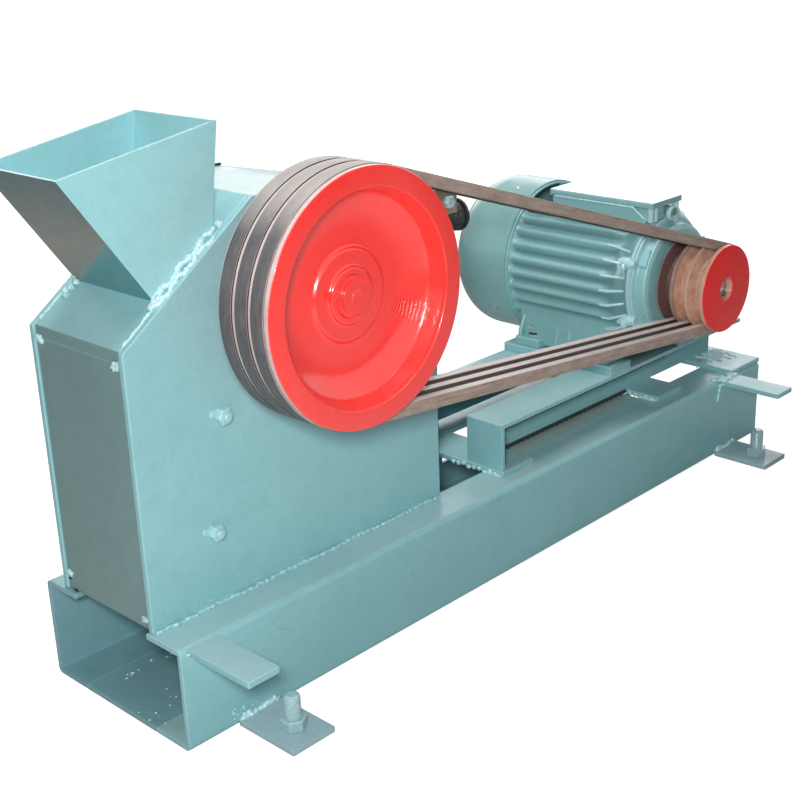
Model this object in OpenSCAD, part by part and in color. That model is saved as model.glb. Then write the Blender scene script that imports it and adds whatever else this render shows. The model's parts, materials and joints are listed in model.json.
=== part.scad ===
// Laboratory jaw crusher with belt drive on a channel base.
// Origin: middle of the machine's outline, at floor level. +X runs from the feed end to the
// motor end, -Y is the belt side and +Z is up. All sizes in millimetres.

/* [Base] */
// Length of the base channels
base_l = 944; // [880:1:1100]
// Width over both channel webs
base_w = 203; // [200:1:220]
// Height of the base channels
base_h = 100; // [80:1:120]
// Thickness of the channel webs and flanges
channel_t = 5; // [4:0.5:7]
// Width of the channel flanges
flange_w = 48; // [46:1:55]
// Outer corner radius of the channels
channel_r = 6; // [3:1:8]
// Length of the floor sheet under the crusher body
floor_l = 390; // [350:1:420]
// Thickness of the cross bars and of the rear deck
deck_t = 6; // [4:1:8]
// Length of the deck plate at the rear end
rear_deck_l = 67; // [60:1:90]
// Distance of the web window from the front end
window_x = 546; // [520:1:560]
// Length of the window in the far channel web
window_l = 70; // [40:1:90]
// Height of the window in the far channel web
window_h = 52; // [30:1:60]
// Height of the window middle above the channel middle
window_rise = 12; // [0:1:14]

/* [Anchors] */
// Distance of the front anchor studs from the front end
anchor_front = 80; // [60:1:110]
// Distance of the rear anchor studs from the rear end
anchor_rear = 76; // [60:1:110]
// Distance of each stud outside the channel web
anchor_out = 45; // [40:1:50]
// Length of an anchor tab along the base
tab_l = 50; // [46:1:60]
// Width of an anchor tab beyond the web
tab_w = 72; // [70:1:80]
// Thickness of an anchor tab
tab_t = 6; // [5:1:8]
// Diameter of the anchor studs
stud_d = 16; // [12:1:18]
// Height of the anchor studs above the floor
stud_h = 40; // [36:1:60]
// Width of the anchor nuts across the flats
nut_w = 22; // [20:1:24]

/* [Guard brackets] */
// Width of each guard bracket bar
bracket_w = 34; // [25:1:40]
// Length of each guard bracket beyond the web
bracket_l = 80; // [60:1:90]
// Thickness of the guard brackets
bracket_t = 6; // [4:1:8]
// Distance of the front bracket from the front end
bracket_x = 7; // [5:1:20]
// Distance of the rear bracket from the rear end
rear_bracket_gap = 60; // [40:1:75]

/* [Crusher body] */
// Distance of the body front from the front end
body_x = 3; // [2:1:10]
// Length of the crusher body
body_l = 368; // [350:1:380]
// Width of the ledge between the near web and the body
near_ledge = 41; // [39:1:44]
// Width of the ledge between the far web and the body
far_ledge = 26; // [24:1:30]
// Height of the body front above the base
body_front_h = 254; // [240:1:280]
// Height of the body top above the base
body_h = 357; // [345:1:390]
// Length of the sloping feed end
slope_l = 145; // [135:1:155]
// Length of the level part of the body top
roof_l = 70; // [50:1:100]
// Fall of the body top towards the rear
roof_drop = 36; // [20:1:60]
// Thickness of the side plates
side_t = 6; // [5:1:12]
// Thickness of the cross plates
plate_t = 10; // [8:1:12]
// Setback of the front and back plates from the side plate edges
setback = 2; // [1:1:12]
// Height of the gap under the front plate
front_gap = 1; // [1:1:15]
// Reach of the rear bracket beyond the body
bracket_out = 36; // [25:1:40]
// Height of the rear bracket
bracket_h = 27; // [20:1:60]

/* [Jaws] */
// Thickness of the fixed jaw plate
fixed_jaw_t = 22; // [12:1:25]
// Side clearance of each jaw between the side plates
jaw_gap = 1.5; // [1:0.5:3]
// Width of the discharge slot between the jaws
discharge = 15; // [8:1:20]
// Width of the mouth between the jaws
mouth = 70; // [60:1:75]
// Radius of the swing jaw head
jaw_head_r = 32; // [28:1:36]
// Height of the jaw bottoms above the base
jaw_z = 32; // [25:1:45]

/* [Hopper] */
// Clearance of the hopper to each side plate
hopper_gap = 6; // [1:0.5:8]
// Sheet thickness of the hopper
hopper_t = 3; // [2:0.5:4]
// Reach of the hopper rim in front of the body
hopper_reach = 33; // [20:1:40]
// Length of the hopper rim
hopper_l = 157; // [140:1:165]
// Height of the front rim above the body top
rim_front_h = 41; // [30:1:50]
// Height of the rear rim above the body top
rim_rear_h = 65; // [45:1:75]
// Distance from the body front to the hopper foot
hopper_foot = 44.5; // [40:0.5:50]
// Length of the feed opening along the machine
feed_l = 65.5; // [60:0.5:68]

/* [Crusher drive] */
// Distance of the crusher shaft from the body front
shaft_x = 171; // [160:1:185]
// Height of the crusher shaft above the base
shaft_z = 279; // [270:1:290]
// Radius of the crusher shaft
shaft_r = 18; // [15:1:20]
// Outer radius of the bearing housings
bearing_r = 38; // [34:1:42]
// Reach of the bearing housings beyond the side plates
bearing_l = 38; // [30:1:40]
// Radius of the drive wheel
wheel_r = 110.7; // [105:0.1:125]
// Radial thickness of the wheel rim
rim_t = 17.7; // [17:0.1:25]
// Depth of the recess in the wheel face
wheel_recess = 27; // [20:1:30]
// Thickness of the wheel disc
disc_t = 16; // [12:1:20]
// Radius of the wheel hub
hub_r = 24; // [22:1:28]

/* [Belts] */
// Distance of the wheel face beyond the near channel web
wheel_out = 70; // [68:1:80]
// Number of belts
belt_n = 3;
// Spacing of the belt grooves
groove_pitch = 19; // [18:0.5:22]
// Width of each groove at the rim
groove_w = 16; // [14:0.5:17]
// Depth of each groove
groove_d = 13; // [12:0.5:14]
// Included angle of each groove
groove_angle = 36; // [32:1:40]
// Land beyond the outer grooves
edge_land = 3; // [2:0.5:5]
// Height of the belts
belt_h = 11; // [9:0.5:11]
// Height of the belts above the groove lands
belt_proud = 1; // [0.5:0.5:2]

/* [Motor] */
// Distance of the motor axis from the front end
motor_x = 734; // [700:1:760]
// Height of the motor axis above its feet
motor_h = 90; // [90:1:112]
// Radius of the motor pulley
pulley_r = 49.7; // [45:0.1:60]
// Radius of the motor shaft
motor_shaft_r = 12; // [10:1:14]
// Length of the motor shaft outside the end shield
motor_shaft_l = 55; // [50:1:60]
// Depth of the shaft end inside the pulley face
shaft_recess = 8; // [2:1:12]
// Reach of the cooling fins below the feet
fin_over = 1; // [0:1:3]
// Radius of the frame between the fins
frame_r = 78; // [74:1:82]
// Length of the finned frame
frame_l = 165; // [142:1:180]
// Distance from the end shield to the ends of the cooling fins
fin_setback = 12; // [0:1:20]
// Thickness of each cooling fin
fin_t = 2.5; // [2:0.5:4]
// Angle between neighbouring fins
fin_step = 11.25; // [10:1.25:15]
// Reach of the fan cover beyond the fins
cover_out = 3; // [1:1:8]
// Length of the fan cover
cover_l = 98; // [60:1:110]
// Sheet thickness of the fan cover
cover_t = 2; // [1.5:0.5:3]
// Distance between the foot bolts across the motor
foot_pitch_x = 140; // [125:1:160]
// Distance between the foot bolts along the motor
foot_pitch_y = 100; // [90:1:110]
// Distance from the shaft shoulder to the first foot bolts
foot_setback = 56; // [50:1:60]
// Radius of the foot bolt holes
foot_hole_r = 5; // [4:0.5:6]
// Length of the terminal box
box_l = 130; // [80:1:130]
// Reach of the terminal box lid over the end shield
lid_over = 14; // [0:1:14]
// Width of the terminal box
box_w = 60; // [50:1:104]
// Distance of the terminal box from the motor axis towards the front
box_off = 18; // [0:1:20]
// Height of the terminal box
box_h = 41; // [34:1:45]
// Radius of the cable gland
gland_r = 6; // [5:0.5:7]
// Distance of the cable gland from the motor axis towards the front
gland_off = 9; // [0:1:38]

/* [Rails] */
// Height of the motor rails
rail_h = 53; // [45:1:60]
// Width of the motor rails
rail_w = 50; // [45:1:55]
// Wall thickness of the motor rails
rail_t = 5; // [4:0.5:6]
// Distance of the near rail from the near web
rail_y = 22; // [18:1:26]
// Front end of the motor rails
rail_x = 449; // [435:1:460]
// Distance of the rail ends from the rear end of the base
rail_end_gap = 15; // [5:1:30]
// Width of the cross bars under the rails
cross_w = 53; // [40:1:60]
// Reach of the cross bars beyond the rails
cross_out = 2; // [1:1:6]
// Distance between the front edges of the cross bars
cross_pitch = 293; // [270:1:310]
// Width of the bars under the motor feet
bar_w = 40; // [34:1:44]
// Thickness of the bars under the motor feet
bar_t = 10; // [8:1:12]

/* [Fits] */
// Radial clearance of the shafts in their bearings
running_gap = 0.05; // [0.02:0.01:0.09]
// Clearance of each belt to its groove sides
belt_gap = 0.3; // [0.3:0.1:0.5]
// Clearance between a sleeve and what it covers
seat_gap = 0.3; // [0.2:0.1:0.5]

/* [Hidden] */
$fn = 96;

teal = [0.45, 0.65, 0.66];
dark_teal = [0.36, 0.52, 0.52];
red = [0.93, 0.25, 0.22];
steel = [0.72, 0.73, 0.74];
rust = [0.55, 0.40, 0.34];
rubber = [0.35, 0.34, 0.34];

eps = 0.01;
half_angle = groove_angle / 2;

// crusher body
near_y = near_ledge;
far_y = base_w - far_ledge;
body_w = far_y - near_y;
inner_near = near_y + side_t;
inner_far = far_y - side_t;
inner_w = body_w - 2 * side_t;
body_end = body_x + body_l;
front_top = base_h + body_front_h;
body_top = base_h + body_h;
slope_end = body_x + slope_l;
slope = (body_top - front_top) / slope_l;
slope_drop = plate_t * sqrt(1 + slope * slope);
ridge_x = slope_end + roof_l;
roof_slope = roof_drop / (body_end - ridge_x);
roof_depth = plate_t * sqrt(1 + roof_slope * roof_slope);
rear_top = body_top - roof_drop;
front_x = body_x + setback;
back_end = body_end - setback;
back_x = back_end - plate_t;
shaft_at = [body_x + shaft_x, 0, base_h + shaft_z];
jaw_x = front_x + plate_t + fixed_jaw_t;
jaw_bottom = base_h + jaw_z;
jaw_top = shaft_at[2] - 7;
jaw_back = 30;
jaw_lip = 12;
jaw_plate_gap = 5;
toggle_z = jaw_bottom + 62;
toggle_t = 10;
toggle_block_l = 40;
toggle_seat_x = jaw_x + 80;
fixed_jaw_top = slope_z(front_x + plate_t) - slope_drop - jaw_plate_gap;

// hopper
rim_front = [body_x - hopper_reach, body_top + rim_front_h];
rim_rear = [rim_front[0] + hopper_l, body_top + rim_rear_h];
foot_front_x = body_x + hopper_foot;
foot_rear_x = foot_front_x + feed_l;
hopper_w = inner_w - 2 * hopper_gap;
hopper_y = inner_near + hopper_gap;

// drive
wheel_w = 2 * edge_land + (belt_n - 1) * groove_pitch + groove_w;
wheel_face = -wheel_out;
wheel_mid = wheel_face + wheel_w / 2;
wheel_back = wheel_face + wheel_w;
disc_face = wheel_face + wheel_recess;
rim_inner_r = wheel_r - rim_t;
boss_step = 3;
boss_r = hub_r + 18;
hub_out = 6;
hub_in = 5;
hub_front = disc_face - hub_out;
hub_back = wheel_back + hub_in;
stub_recess = 16;
shaft_front = wheel_face + stub_recess;
stub_r = shaft_r - 3;
bearing_flange_t = 12;
bearing_flange_r = bearing_r + 12;
cap_t = 6;
far_shaft_end = far_y + bearing_l - cap_t;
end_play = 1;

// motor
fin_r = motor_h + fin_over;
cover_r = fin_r + cover_out;
shield_r = frame_r - 4;
shield_step = 2;
shield_face_r = shield_r - 8;
shield_rim_l = 3;
shield_face_l = 6;
shield_boss_r = shield_face_r - 5;
shield_boss_l = 17;
rear_shield_r = frame_r - 8;
pad_z = frame_r - 22;
rail_l = base_l - rail_end_gap - rail_x;
rail_z = base_h + deck_t;
cross_x = rail_x - cross_out;
rail_top = rail_z + rail_h;
foot_z = rail_top + bar_t;
motor_at = [motor_x, 0, foot_z + motor_h];
motor_shaft_front = wheel_face + shaft_recess;
shoulder_y = motor_shaft_front + motor_shaft_l;
shoulder_gap = 2;
shield_y = shoulder_y + shoulder_gap;
shield_l = 19;
frame_y = shield_y + shield_l;
frame_end = frame_y + frame_l;
foot_rows = [shoulder_y + foot_setback, shoulder_y + foot_setback + foot_pitch_y];
foot_end = 15;
foot_w = 34;
foot_t = 11;
web_t = 6;
lug_w = 12;
lug_setback = 4;
cover_lap = 2;
cover_y = frame_end - cover_lap;
rear_shield_l = 12;
cover_round = 45;
cover_slots = 24;
box_x = motor_x - box_off;
box_y = frame_y;
lid_t = 7;
lid_lap = 2;
pad_gap = 3;
gland_gap = 2;
gland_reach = shield_r + gland_r + gland_gap;
gland_z = motor_at[2] + sqrt(gland_reach * gland_reach - gland_off * gland_off);
gland_l = 20;
gland_step = 1.4;
bar_x = [motor_x - foot_pitch_x / 2, motor_x + foot_pitch_x / 2];

// anchors: near front, near rear, far front, far rear
anchor_x = [anchor_front, base_l - anchor_rear];
nut_h = 12;
rear_bracket_x = base_l - rear_bracket_gap - bracket_w;

// belt path
centre_x = motor_at[0] - shaft_at[0];
centre_z = motor_at[2] - shaft_at[2];
centre_l = sqrt(centre_x * centre_x + centre_z * centre_z);
centre_angle = atan2(centre_z, centre_x);
wrap = acos((wheel_r - pulley_r) / centre_l);
run_l = centre_l * sin(wrap);
run_lap = 1;
run_inset = 0.05;

function slope_z(x) = front_top + (x - body_x) * slope;
function roof_z(x) = body_top - (x - ridge_x) * roof_slope;
function groove_half(r_below) = groove_w / 2 - r_below * tan(half_angle);
function groove_y(i) = (i - (belt_n - 1) / 2) * groove_pitch;

// Puts the drawing, which starts at the near front corner of the base, on the outline's middle
module placed() {
    translate([-(rim_front[0] + base_l) / 2, -(base_w + tab_w - bracket_l) / 2, 0]) children();
}

// Turns a shape drawn about +Z so that it lies about -Y at a shaft centre
module on_shaft(centre, y) {
    translate([centre[0], y, centre[2]]) rotate([90, 0, 0]) children();
}

// Extrudes an X-Z outline from y over a width towards +Y
module across(y, w) {
    translate([0, y + w, 0]) rotate([90, 0, 0]) linear_extrude(w) children();
}

// Cross-section of a base channel with its web on the left
module channel_section() {
    difference() {
        union() {
            translate([channel_r, 0]) square([flange_w - channel_r, base_h]);
            translate([0, channel_r]) square([channel_r, base_h - 2 * channel_r]);
            for (z = [channel_r, base_h - channel_r]) translate([channel_r, z]) circle(channel_r);
        }
        translate([channel_t, channel_t]) square([flange_w, base_h - 2 * channel_t]);
    }
}

module channel() {
    rotate([90, 0, 90]) linear_extrude(base_l) channel_section();
}

module near_channel() {
    color(teal) channel();
}

// Far channel, with a window in its web behind the front cross bar
module far_channel() {
    color(teal) difference() {
        translate([0, base_w, 0]) mirror([0, 1, 0]) channel();
        translate([window_x, base_w - channel_t - eps, (base_h - window_h) / 2 + window_rise])
            cube([window_l, channel_t + 2 * eps, window_h]);
    }
}

module floor_plate() {
    color(dark_teal) translate([0, flange_w, 0]) cube([floor_l, base_w - 2 * flange_w, channel_t]);
}

// Flat bar across both channels, under the rails
module cross_bar(x) {
    color(teal) translate([x, rail_y - cross_out, base_h])
        cube([cross_w, base_w - 2 * (rail_y - cross_out), deck_t]);
}

module cross_bar_front() {
    cross_bar(cross_x);
}

module cross_bar_rear() {
    cross_bar(cross_x + cross_pitch);
}

module rear_deck() {
    color(teal) translate([base_l - rear_deck_l, 0, base_h]) cube([rear_deck_l, base_w, deck_t]);
}

// Angle rail with its web on the far side and a closed front end, at a distance from the near web
module rail(y, row) {
    color(teal) translate([rail_x, y, rail_z]) difference() {
        cube([rail_l, rail_w, rail_h]);
        translate([rail_t, -eps, -eps]) cube([rail_l, rail_w - rail_t + eps, rail_h - rail_t + eps]);
        for (x = bar_x) translate([x - rail_x, row - y, rail_h / 2]) cylinder(h = rail_h, r = foot_hole_r);
    }
}

module near_rail() {
    rail(rail_y, foot_rows[0]);
}

module far_rail() {
    rail(base_w - rail_y - rail_w, foot_rows[1]);
}

// Bar across both rails under one side of the motor
module motor_bar(x) {
    color(teal) difference() {
        translate([x - bar_w / 2, rail_y, rail_top]) cube([bar_w, base_w - 2 * rail_y, bar_t]);
        for (y = foot_rows) translate([x, y, rail_top - eps])
            cylinder(h = bar_t + 2 * eps, r = foot_hole_r);
    }
}

module motor_bar_front() {
    motor_bar(bar_x[0]);
}

module motor_bar_rear() {
    motor_bar(bar_x[1]);
}

// Side plate outline with the sloping feed end
module side_outline() {
    polygon([
        [body_x, base_h], [body_end, base_h], [body_end, rear_top],
        [ridge_x, body_top], [slope_end, body_top], [body_x, front_top]
    ]);
}

module side_plate(y) {
    color(teal) difference() {
        across(y, side_t) side_outline();
        on_shaft(shaft_at, y + side_t + eps) cylinder(h = side_t + 2 * eps, r = shaft_r + side_t);
    }
}

module near_side_plate() {
    side_plate(near_y);
}

module far_side_plate() {
    side_plate(inner_far);
}

module front_plate() {
    color(dark_teal) across(inner_near, inner_w) polygon([
        [front_x, base_h + front_gap], [front_x + plate_t, base_h + front_gap],
        [front_x + plate_t, slope_z(front_x + plate_t) - slope_drop],
        [front_x, slope_z(front_x) - slope_drop]
    ]);
}

// Sloping plate between the side plates, with the feed opening under the hopper
module slope_plate() {
    color(teal) difference() {
        across(inner_near, inner_w) polygon([
            [front_x, slope_z(front_x)], [slope_end, body_top],
            [slope_end, body_top - slope_drop], [front_x, slope_z(front_x) - slope_drop]
        ]);
        translate([foot_front_x + hopper_t, hopper_y + hopper_t, jaw_top])
            cube([feed_l - 2 * hopper_t, hopper_w - 2 * hopper_t, body_h]);
    }
}

module top_plate() {
    color(teal) translate([slope_end, inner_near, body_top - plate_t]) cube([roof_l, inner_w, plate_t]);
}

// Roof plate that falls towards the rear
module roof_plate() {
    color(teal) across(inner_near, inner_w) polygon([
        [ridge_x, body_top], [back_end, roof_z(back_end)],
        [back_end, roof_z(back_end) - roof_depth], [ridge_x, body_top - roof_depth]
    ]);
}

module back_plate() {
    color(dark_teal) across(inner_near, inner_w) polygon([
        [back_x, base_h], [back_end, base_h],
        [back_end, roof_z(back_end) - roof_depth], [back_x, roof_z(back_x) - roof_depth]
    ]);
}

// Bracket that stands out behind the body top
module rear_bracket() {
    color(dark_teal) difference() {
        translate([body_end, near_y, rear_top - bracket_h])
            cube([bracket_out, body_w, bracket_h]);
        translate([body_end - eps, inner_near, rear_top - bracket_h - eps])
            cube([bracket_out - side_t, inner_w, bracket_h + 2 * eps]);
    }
}

module fixed_jaw() {
    color(steel) translate([front_x + plate_t, inner_near + jaw_gap, jaw_bottom])
        cube([fixed_jaw_t, inner_w - 2 * jaw_gap, fixed_jaw_top - jaw_bottom]);
}

// Swing jaw hung on the crusher shaft, with a toggle seat at its lower back
module swing_jaw() {
    color(steel) difference() {
        across(inner_near + jaw_gap, inner_w - 2 * jaw_gap) union() {
            translate([shaft_at[0], shaft_at[2]]) circle(jaw_head_r);
            polygon([
                [jaw_x + mouth, jaw_top + jaw_lip], [jaw_x + discharge, jaw_bottom],
                [jaw_x + discharge + jaw_back, jaw_bottom], [toggle_seat_x, toggle_z - toggle_t],
                [toggle_seat_x, toggle_z + 2 * toggle_t],
                [shaft_at[0] + jaw_head_r / 2, shaft_at[2] - jaw_head_r / 2],
                [shaft_at[0], shaft_at[2] + jaw_head_r / 2]
            ]);
        }
        on_shaft(shaft_at, inner_far) cylinder(h = inner_w, r = shaft_r + running_gap);
    }
}

module toggle_plate() {
    color(steel) translate([toggle_seat_x, inner_near + 3 * jaw_gap, toggle_z])
        cube([back_x - toggle_block_l - toggle_seat_x, inner_w - 6 * jaw_gap, toggle_t]);
}

module toggle_block() {
    color(dark_teal) translate([back_x - toggle_block_l, inner_near, toggle_z - toggle_block_l])
        cube([toggle_block_l, inner_w, 2 * toggle_block_l + toggle_t]);
}

// Bearing housing: a flange against the side plate and a nose away from it
module housing(nose) {
    cylinder(h = bearing_flange_t, r = bearing_flange_r);
    cylinder(h = nose, r = bearing_r);
}

module near_bearing() {
    color(dark_teal) difference() {
        on_shaft(shaft_at, near_y) housing(bearing_l);
        on_shaft(shaft_at, near_y + eps) cylinder(h = bearing_l + 2 * eps, r = shaft_r + running_gap);
    }
}

module far_bearing() {
    color(dark_teal) difference() {
        on_shaft(shaft_at, far_y) mirror([0, 0, 1]) housing(bearing_l);
        on_shaft(shaft_at, far_shaft_end + end_play)
            cylinder(h = far_shaft_end + end_play - far_y + eps, r = shaft_r + running_gap);
    }
}

// Side panel of the hopper
module hopper_panel(y) {
    across(y, hopper_t) polygon([
        rim_front, rim_rear, [foot_rear_x, slope_z(foot_rear_x)], [foot_front_x, slope_z(foot_front_x)]
    ]);
}

// Front or rear wall of the hopper, drawn between its rim and its foot
module hopper_wall(rim, foot_x, inward) {
    foot = [foot_x, slope_z(foot_x)];
    foot_in = [foot_x + inward, slope_z(foot_x + inward)];
    across(hopper_y, hopper_w) polygon([rim, foot, foot_in, [rim[0] + inward, rim[1]]]);
}

module hopper() {
    color(teal) union() {
        hopper_panel(hopper_y);
        hopper_panel(hopper_y + hopper_w - hopper_t);
        hopper_wall(rim_front, foot_front_x, hopper_t);
        hopper_wall(rim_rear, foot_rear_x, -hopper_t);
    }
}

// Foot tab welded to the channel web, with a hole for its stud
module anchor_tab(x) {
    color(teal) difference() {
        translate([x - tab_l / 2, -tab_w, 0]) cube([tab_l, tab_w, tab_t]);
        translate([x, -anchor_out, -eps]) cylinder(h = tab_t + 2 * eps, r = stud_d / 2 + seat_gap);
    }
}

// Anchor stud with its nut on the tab
module anchor_stud(x) {
    color(steel) translate([x, -anchor_out, 0]) {
        cylinder(h = stud_h, r = stud_d / 2);
        translate([0, 0, tab_t]) cylinder(h = nut_h, r = nut_w / sqrt(3), $fn = 6);
    }
}

// Mirrors a piece from the near side to the far side
module far_side() {
    translate([0, base_w, 0]) mirror([0, 1, 0]) children();
}

// Flat bar that carries one end of a belt guard
module guard_bracket(x) {
    color(teal) translate([x, -bracket_l, base_h - bracket_t]) cube([bracket_w, bracket_l, bracket_t]);
}

// Groove of a belt pulley, cut into a rim of the given radius
module groove(r) {
    rotate_extrude() polygon([
        [r + eps, -groove_half(-eps)], [r - groove_d, -groove_half(groove_d)],
        [r - groove_d, groove_half(groove_d)], [r + eps, groove_half(-eps)]
    ]);
}

// Drive wheel: grooved rim, disc with a raised middle, and hub
module drive_wheel() {
    color(red) on_shaft(shaft_at, wheel_back) difference() {
        union() {
            difference() {
                cylinder(h = wheel_w, r = wheel_r);
                translate([0, 0, -eps]) cylinder(h = wheel_w + 2 * eps, r = rim_inner_r);
                for (i = [0 : belt_n - 1]) translate([0, 0, wheel_w / 2 + groove_y(i)]) groove(wheel_r);
            }
            translate([0, 0, wheel_back - disc_face - disc_t]) cylinder(h = disc_t, r = rim_inner_r + eps);
            translate([0, 0, wheel_back - disc_face]) cylinder(h = boss_step, r = boss_r);
            translate([0, 0, wheel_back - hub_back]) cylinder(h = hub_back - hub_front, r = hub_r);
        }
        translate([0, 0, wheel_back - hub_back - eps])
            cylinder(h = hub_back - hub_front + 2 * eps, r = shaft_r);
    }
}

// Crusher shaft with a turned-down stub in front of the wheel hub
module crusher_shaft() {
    color(steel) {
        on_shaft(shaft_at, far_shaft_end) cylinder(h = far_shaft_end - hub_front, r = shaft_r);
        on_shaft(shaft_at, hub_front) cylinder(h = hub_front - shaft_front, r = stub_r);
    }
}

module motor_pulley() {
    color(rust) on_shaft(motor_at, wheel_back) difference() {
        cylinder(h = wheel_w, r = pulley_r);
        for (i = [0 : belt_n - 1]) translate([0, 0, wheel_w / 2 + groove_y(i)]) groove(pulley_r);
        translate([0, 0, -eps]) cylinder(h = wheel_w + 2 * eps, r = motor_shaft_r);
    }
}

module motor_shaft() {
    color(steel) on_shaft(motor_at, shield_y + shield_l)
        cylinder(h = shield_y + shield_l - motor_shaft_front, r = motor_shaft_r);
}

// Belt cross-section: distance from the groove land, then distance along the shaft
module belt_section(inset = 0) {
    side = belt_gap / cos(half_angle) + inset;
    low = -belt_h + belt_proud + inset;
    high = belt_proud - inset;
    polygon([
        [low, -groove_half(-low) + side],
        [high, -groove_half(-high) + side],
        [high, groove_half(-high) - side],
        [low, groove_half(-low) - side]
    ]);
}

// Arc of a belt around a pulley of the given radius
module belt_arc(r, angle) {
    rotate_extrude(angle = angle) translate([r, 0]) belt_section();
}

// Straight run of a belt, from the wheel to the pulley, its ends sunk into both arcs
module belt_run() {
    rotate([0, 0, wrap])
        translate([wheel_r, run_lap, 0]) rotate([90, 0, 0])
            linear_extrude(run_l + 2 * run_lap) belt_section(run_inset);
}

// One closed belt loop around both pulleys
module belt(i) {
    color(rubber) on_shaft(shaft_at, wheel_mid + groove_y(i)) rotate([0, 0, centre_angle]) {
        rotate([0, 0, wrap]) belt_arc(wheel_r, 360 - 2 * wrap);
        translate([centre_l, 0, 0]) rotate([0, 0, -wrap]) belt_arc(pulley_r, 2 * wrap);
        belt_run();
        mirror([0, 1, 0]) belt_run();
    }
}

// Drive-end shield: boss around the shaft, dished face and outer ring
module end_shield() {
    color(teal) on_shaft(motor_at, shield_y + shield_l) rotate_extrude() polygon([
        [motor_shaft_r + running_gap, 0], [shield_r, 0], [shield_r, shield_rim_l],
        [shield_r - shield_step, shield_rim_l], [shield_face_r, shield_face_l],
        [shield_boss_r + boss_step, shield_boss_l], [shield_boss_r, shield_l],
        [motor_shaft_r + running_gap, shield_l]
    ]);
}

// Cooling fins, cut to a round outline
module fins() {
    intersection() {
        for (a = [0 : fin_step : 180 - fin_step])
            rotate([0, 0, a + fin_step / 2]) translate([-fin_r, -fin_t / 2, 0])
                cube([2 * fin_r, fin_t, frame_l - fin_setback]);
        cylinder(h = frame_l - fin_setback, r = fin_r);
    }
}

// Motor foot with its upright web, on the -X side or the +X side
module foot(side) {
    foot_x = motor_x + side * foot_pitch_x / 2;
    foot_y = foot_rows[0] - foot_end;
    translate([foot_x - foot_w / 2, foot_y, foot_z]) cube([foot_w, foot_pitch_y + 2 * foot_end, foot_t]);
    translate([foot_x - side * foot_w / 2 - web_t / 2, foot_y, foot_z])
        cube([web_t, foot_pitch_y + 2 * foot_end, motor_h / 2]);
}

// Lugs that carry the fan cover
module cover_lugs() {
    for (a = [45 : 90 : 315]) rotate([0, 0, a]) translate([rear_shield_r - lug_w, -lug_w / 2, 0])
        cube([cover_r - cover_t - seat_gap - rear_shield_r + lug_w, lug_w, rear_shield_l - lug_setback]);
}

// Finned motor frame with its feet and the rear shield inside the fan cover
module motor_frame() {
    color(teal) difference() {
        union() {
            on_shaft(motor_at, frame_end) {
                cylinder(h = frame_l, r = frame_r);
                fins();
            }
            on_shaft(motor_at, frame_end + rear_shield_l) {
                cylinder(h = rear_shield_l + eps, r = rear_shield_r);
                cover_lugs();
            }
            for (side = [-1, 1]) foot(side);
        }
        translate([box_x - box_w / 2 - pad_gap, frame_y - eps, motor_at[2] + pad_z])
            cube([box_w + 2 * pad_gap, box_l + 2 * pad_gap, fin_r]);
        translate([motor_x - fin_r, frame_y - eps, foot_z - fin_r]) cube([2 * fin_r, 2 * frame_l, fin_r]);
        for (x = bar_x, y = foot_rows) translate([x, y, foot_z - eps])
            cylinder(h = foot_t + 2 * eps, r = foot_hole_r);
    }
}

// Outline of the fan cover, from the shaft axis outwards and from its open end backwards
module cover_outline(inset) {
    r = cover_r - inset;
    l = cover_l - inset;
    translate([0, -2 * eps]) square([r, l - cover_round + 2 * eps]);
    square([r - cover_round, l]);
    translate([r - cover_round, l - cover_round]) circle(cover_round);
}

module fan_cover() {
    color(teal) on_shaft(motor_at, cover_y) mirror([0, 0, 1]) difference() {
        rotate_extrude() intersection() {
            cover_outline(0);
            square([cover_r, cover_l]);
        }
        rotate_extrude() cover_outline(cover_t);
        for (i = [0 : cover_slots - 1]) rotate([0, 0, i * 360 / cover_slots])
            translate([cover_r / 3, -cover_t, cover_l - cover_t - eps])
                cube([cover_r / 3, 2 * cover_t, 2 * cover_t]);
    }
}

// Terminal box with a lid that stands proud of its walls
module terminal_box() {
    color(teal) translate([box_x, box_y, motor_at[2] + pad_z]) {
        translate([-box_w / 2 + lid_lap, lid_lap, 0])
            cube([box_w - 2 * lid_lap, box_l - 2 * lid_lap, box_h - lid_t]);
        translate([-box_w / 2, -lid_over, box_h - lid_t]) cube([box_w, box_l + lid_over, lid_t]);
    }
}

// Cable gland on the drive-end face of the terminal box
module cable_gland() {
    gland_x = motor_x - gland_off;
    color(dark_teal) translate([gland_x, box_y + lid_lap, gland_z]) rotate([90, 0, 0]) difference() {
        union() {
            cylinder(h = gland_l, r = gland_r - gland_step);
            translate([0, 0, gland_l / 3]) cylinder(h = gland_l / 3, r = gland_r, $fn = 6);
        }
        translate([0, 0, gland_l / 2]) cylinder(h = gland_l, r = gland_r / 2);
    }
}

module belt_1() {
    belt(0);
}

module belt_2() {
    belt(1);
}

module belt_3() {
    belt(2);
}

placed() near_channel();
placed() far_channel();
placed() floor_plate();
placed() cross_bar_front();
placed() cross_bar_rear();
placed() rear_deck();
placed() near_rail();
placed() far_rail();
placed() motor_bar_front();
placed() motor_bar_rear();
placed() near_side_plate();
placed() far_side_plate();
placed() front_plate();
placed() slope_plate();
placed() top_plate();
placed() roof_plate();
placed() back_plate();
placed() rear_bracket();
placed() fixed_jaw();
placed() swing_jaw();
placed() toggle_plate();
placed() toggle_block();
placed() near_bearing();
placed() far_bearing();
placed() hopper();
placed() anchor_tab(anchor_x[0]);  // anchor_tab_1
placed() anchor_tab(anchor_x[1]);  // anchor_tab_2
placed() far_side() anchor_tab(anchor_x[0]);  // anchor_tab_3
placed() far_side() anchor_tab(anchor_x[1]);  // anchor_tab_4
placed() anchor_stud(anchor_x[0]);  // anchor_stud_1
placed() anchor_stud(anchor_x[1]);  // anchor_stud_2
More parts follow.
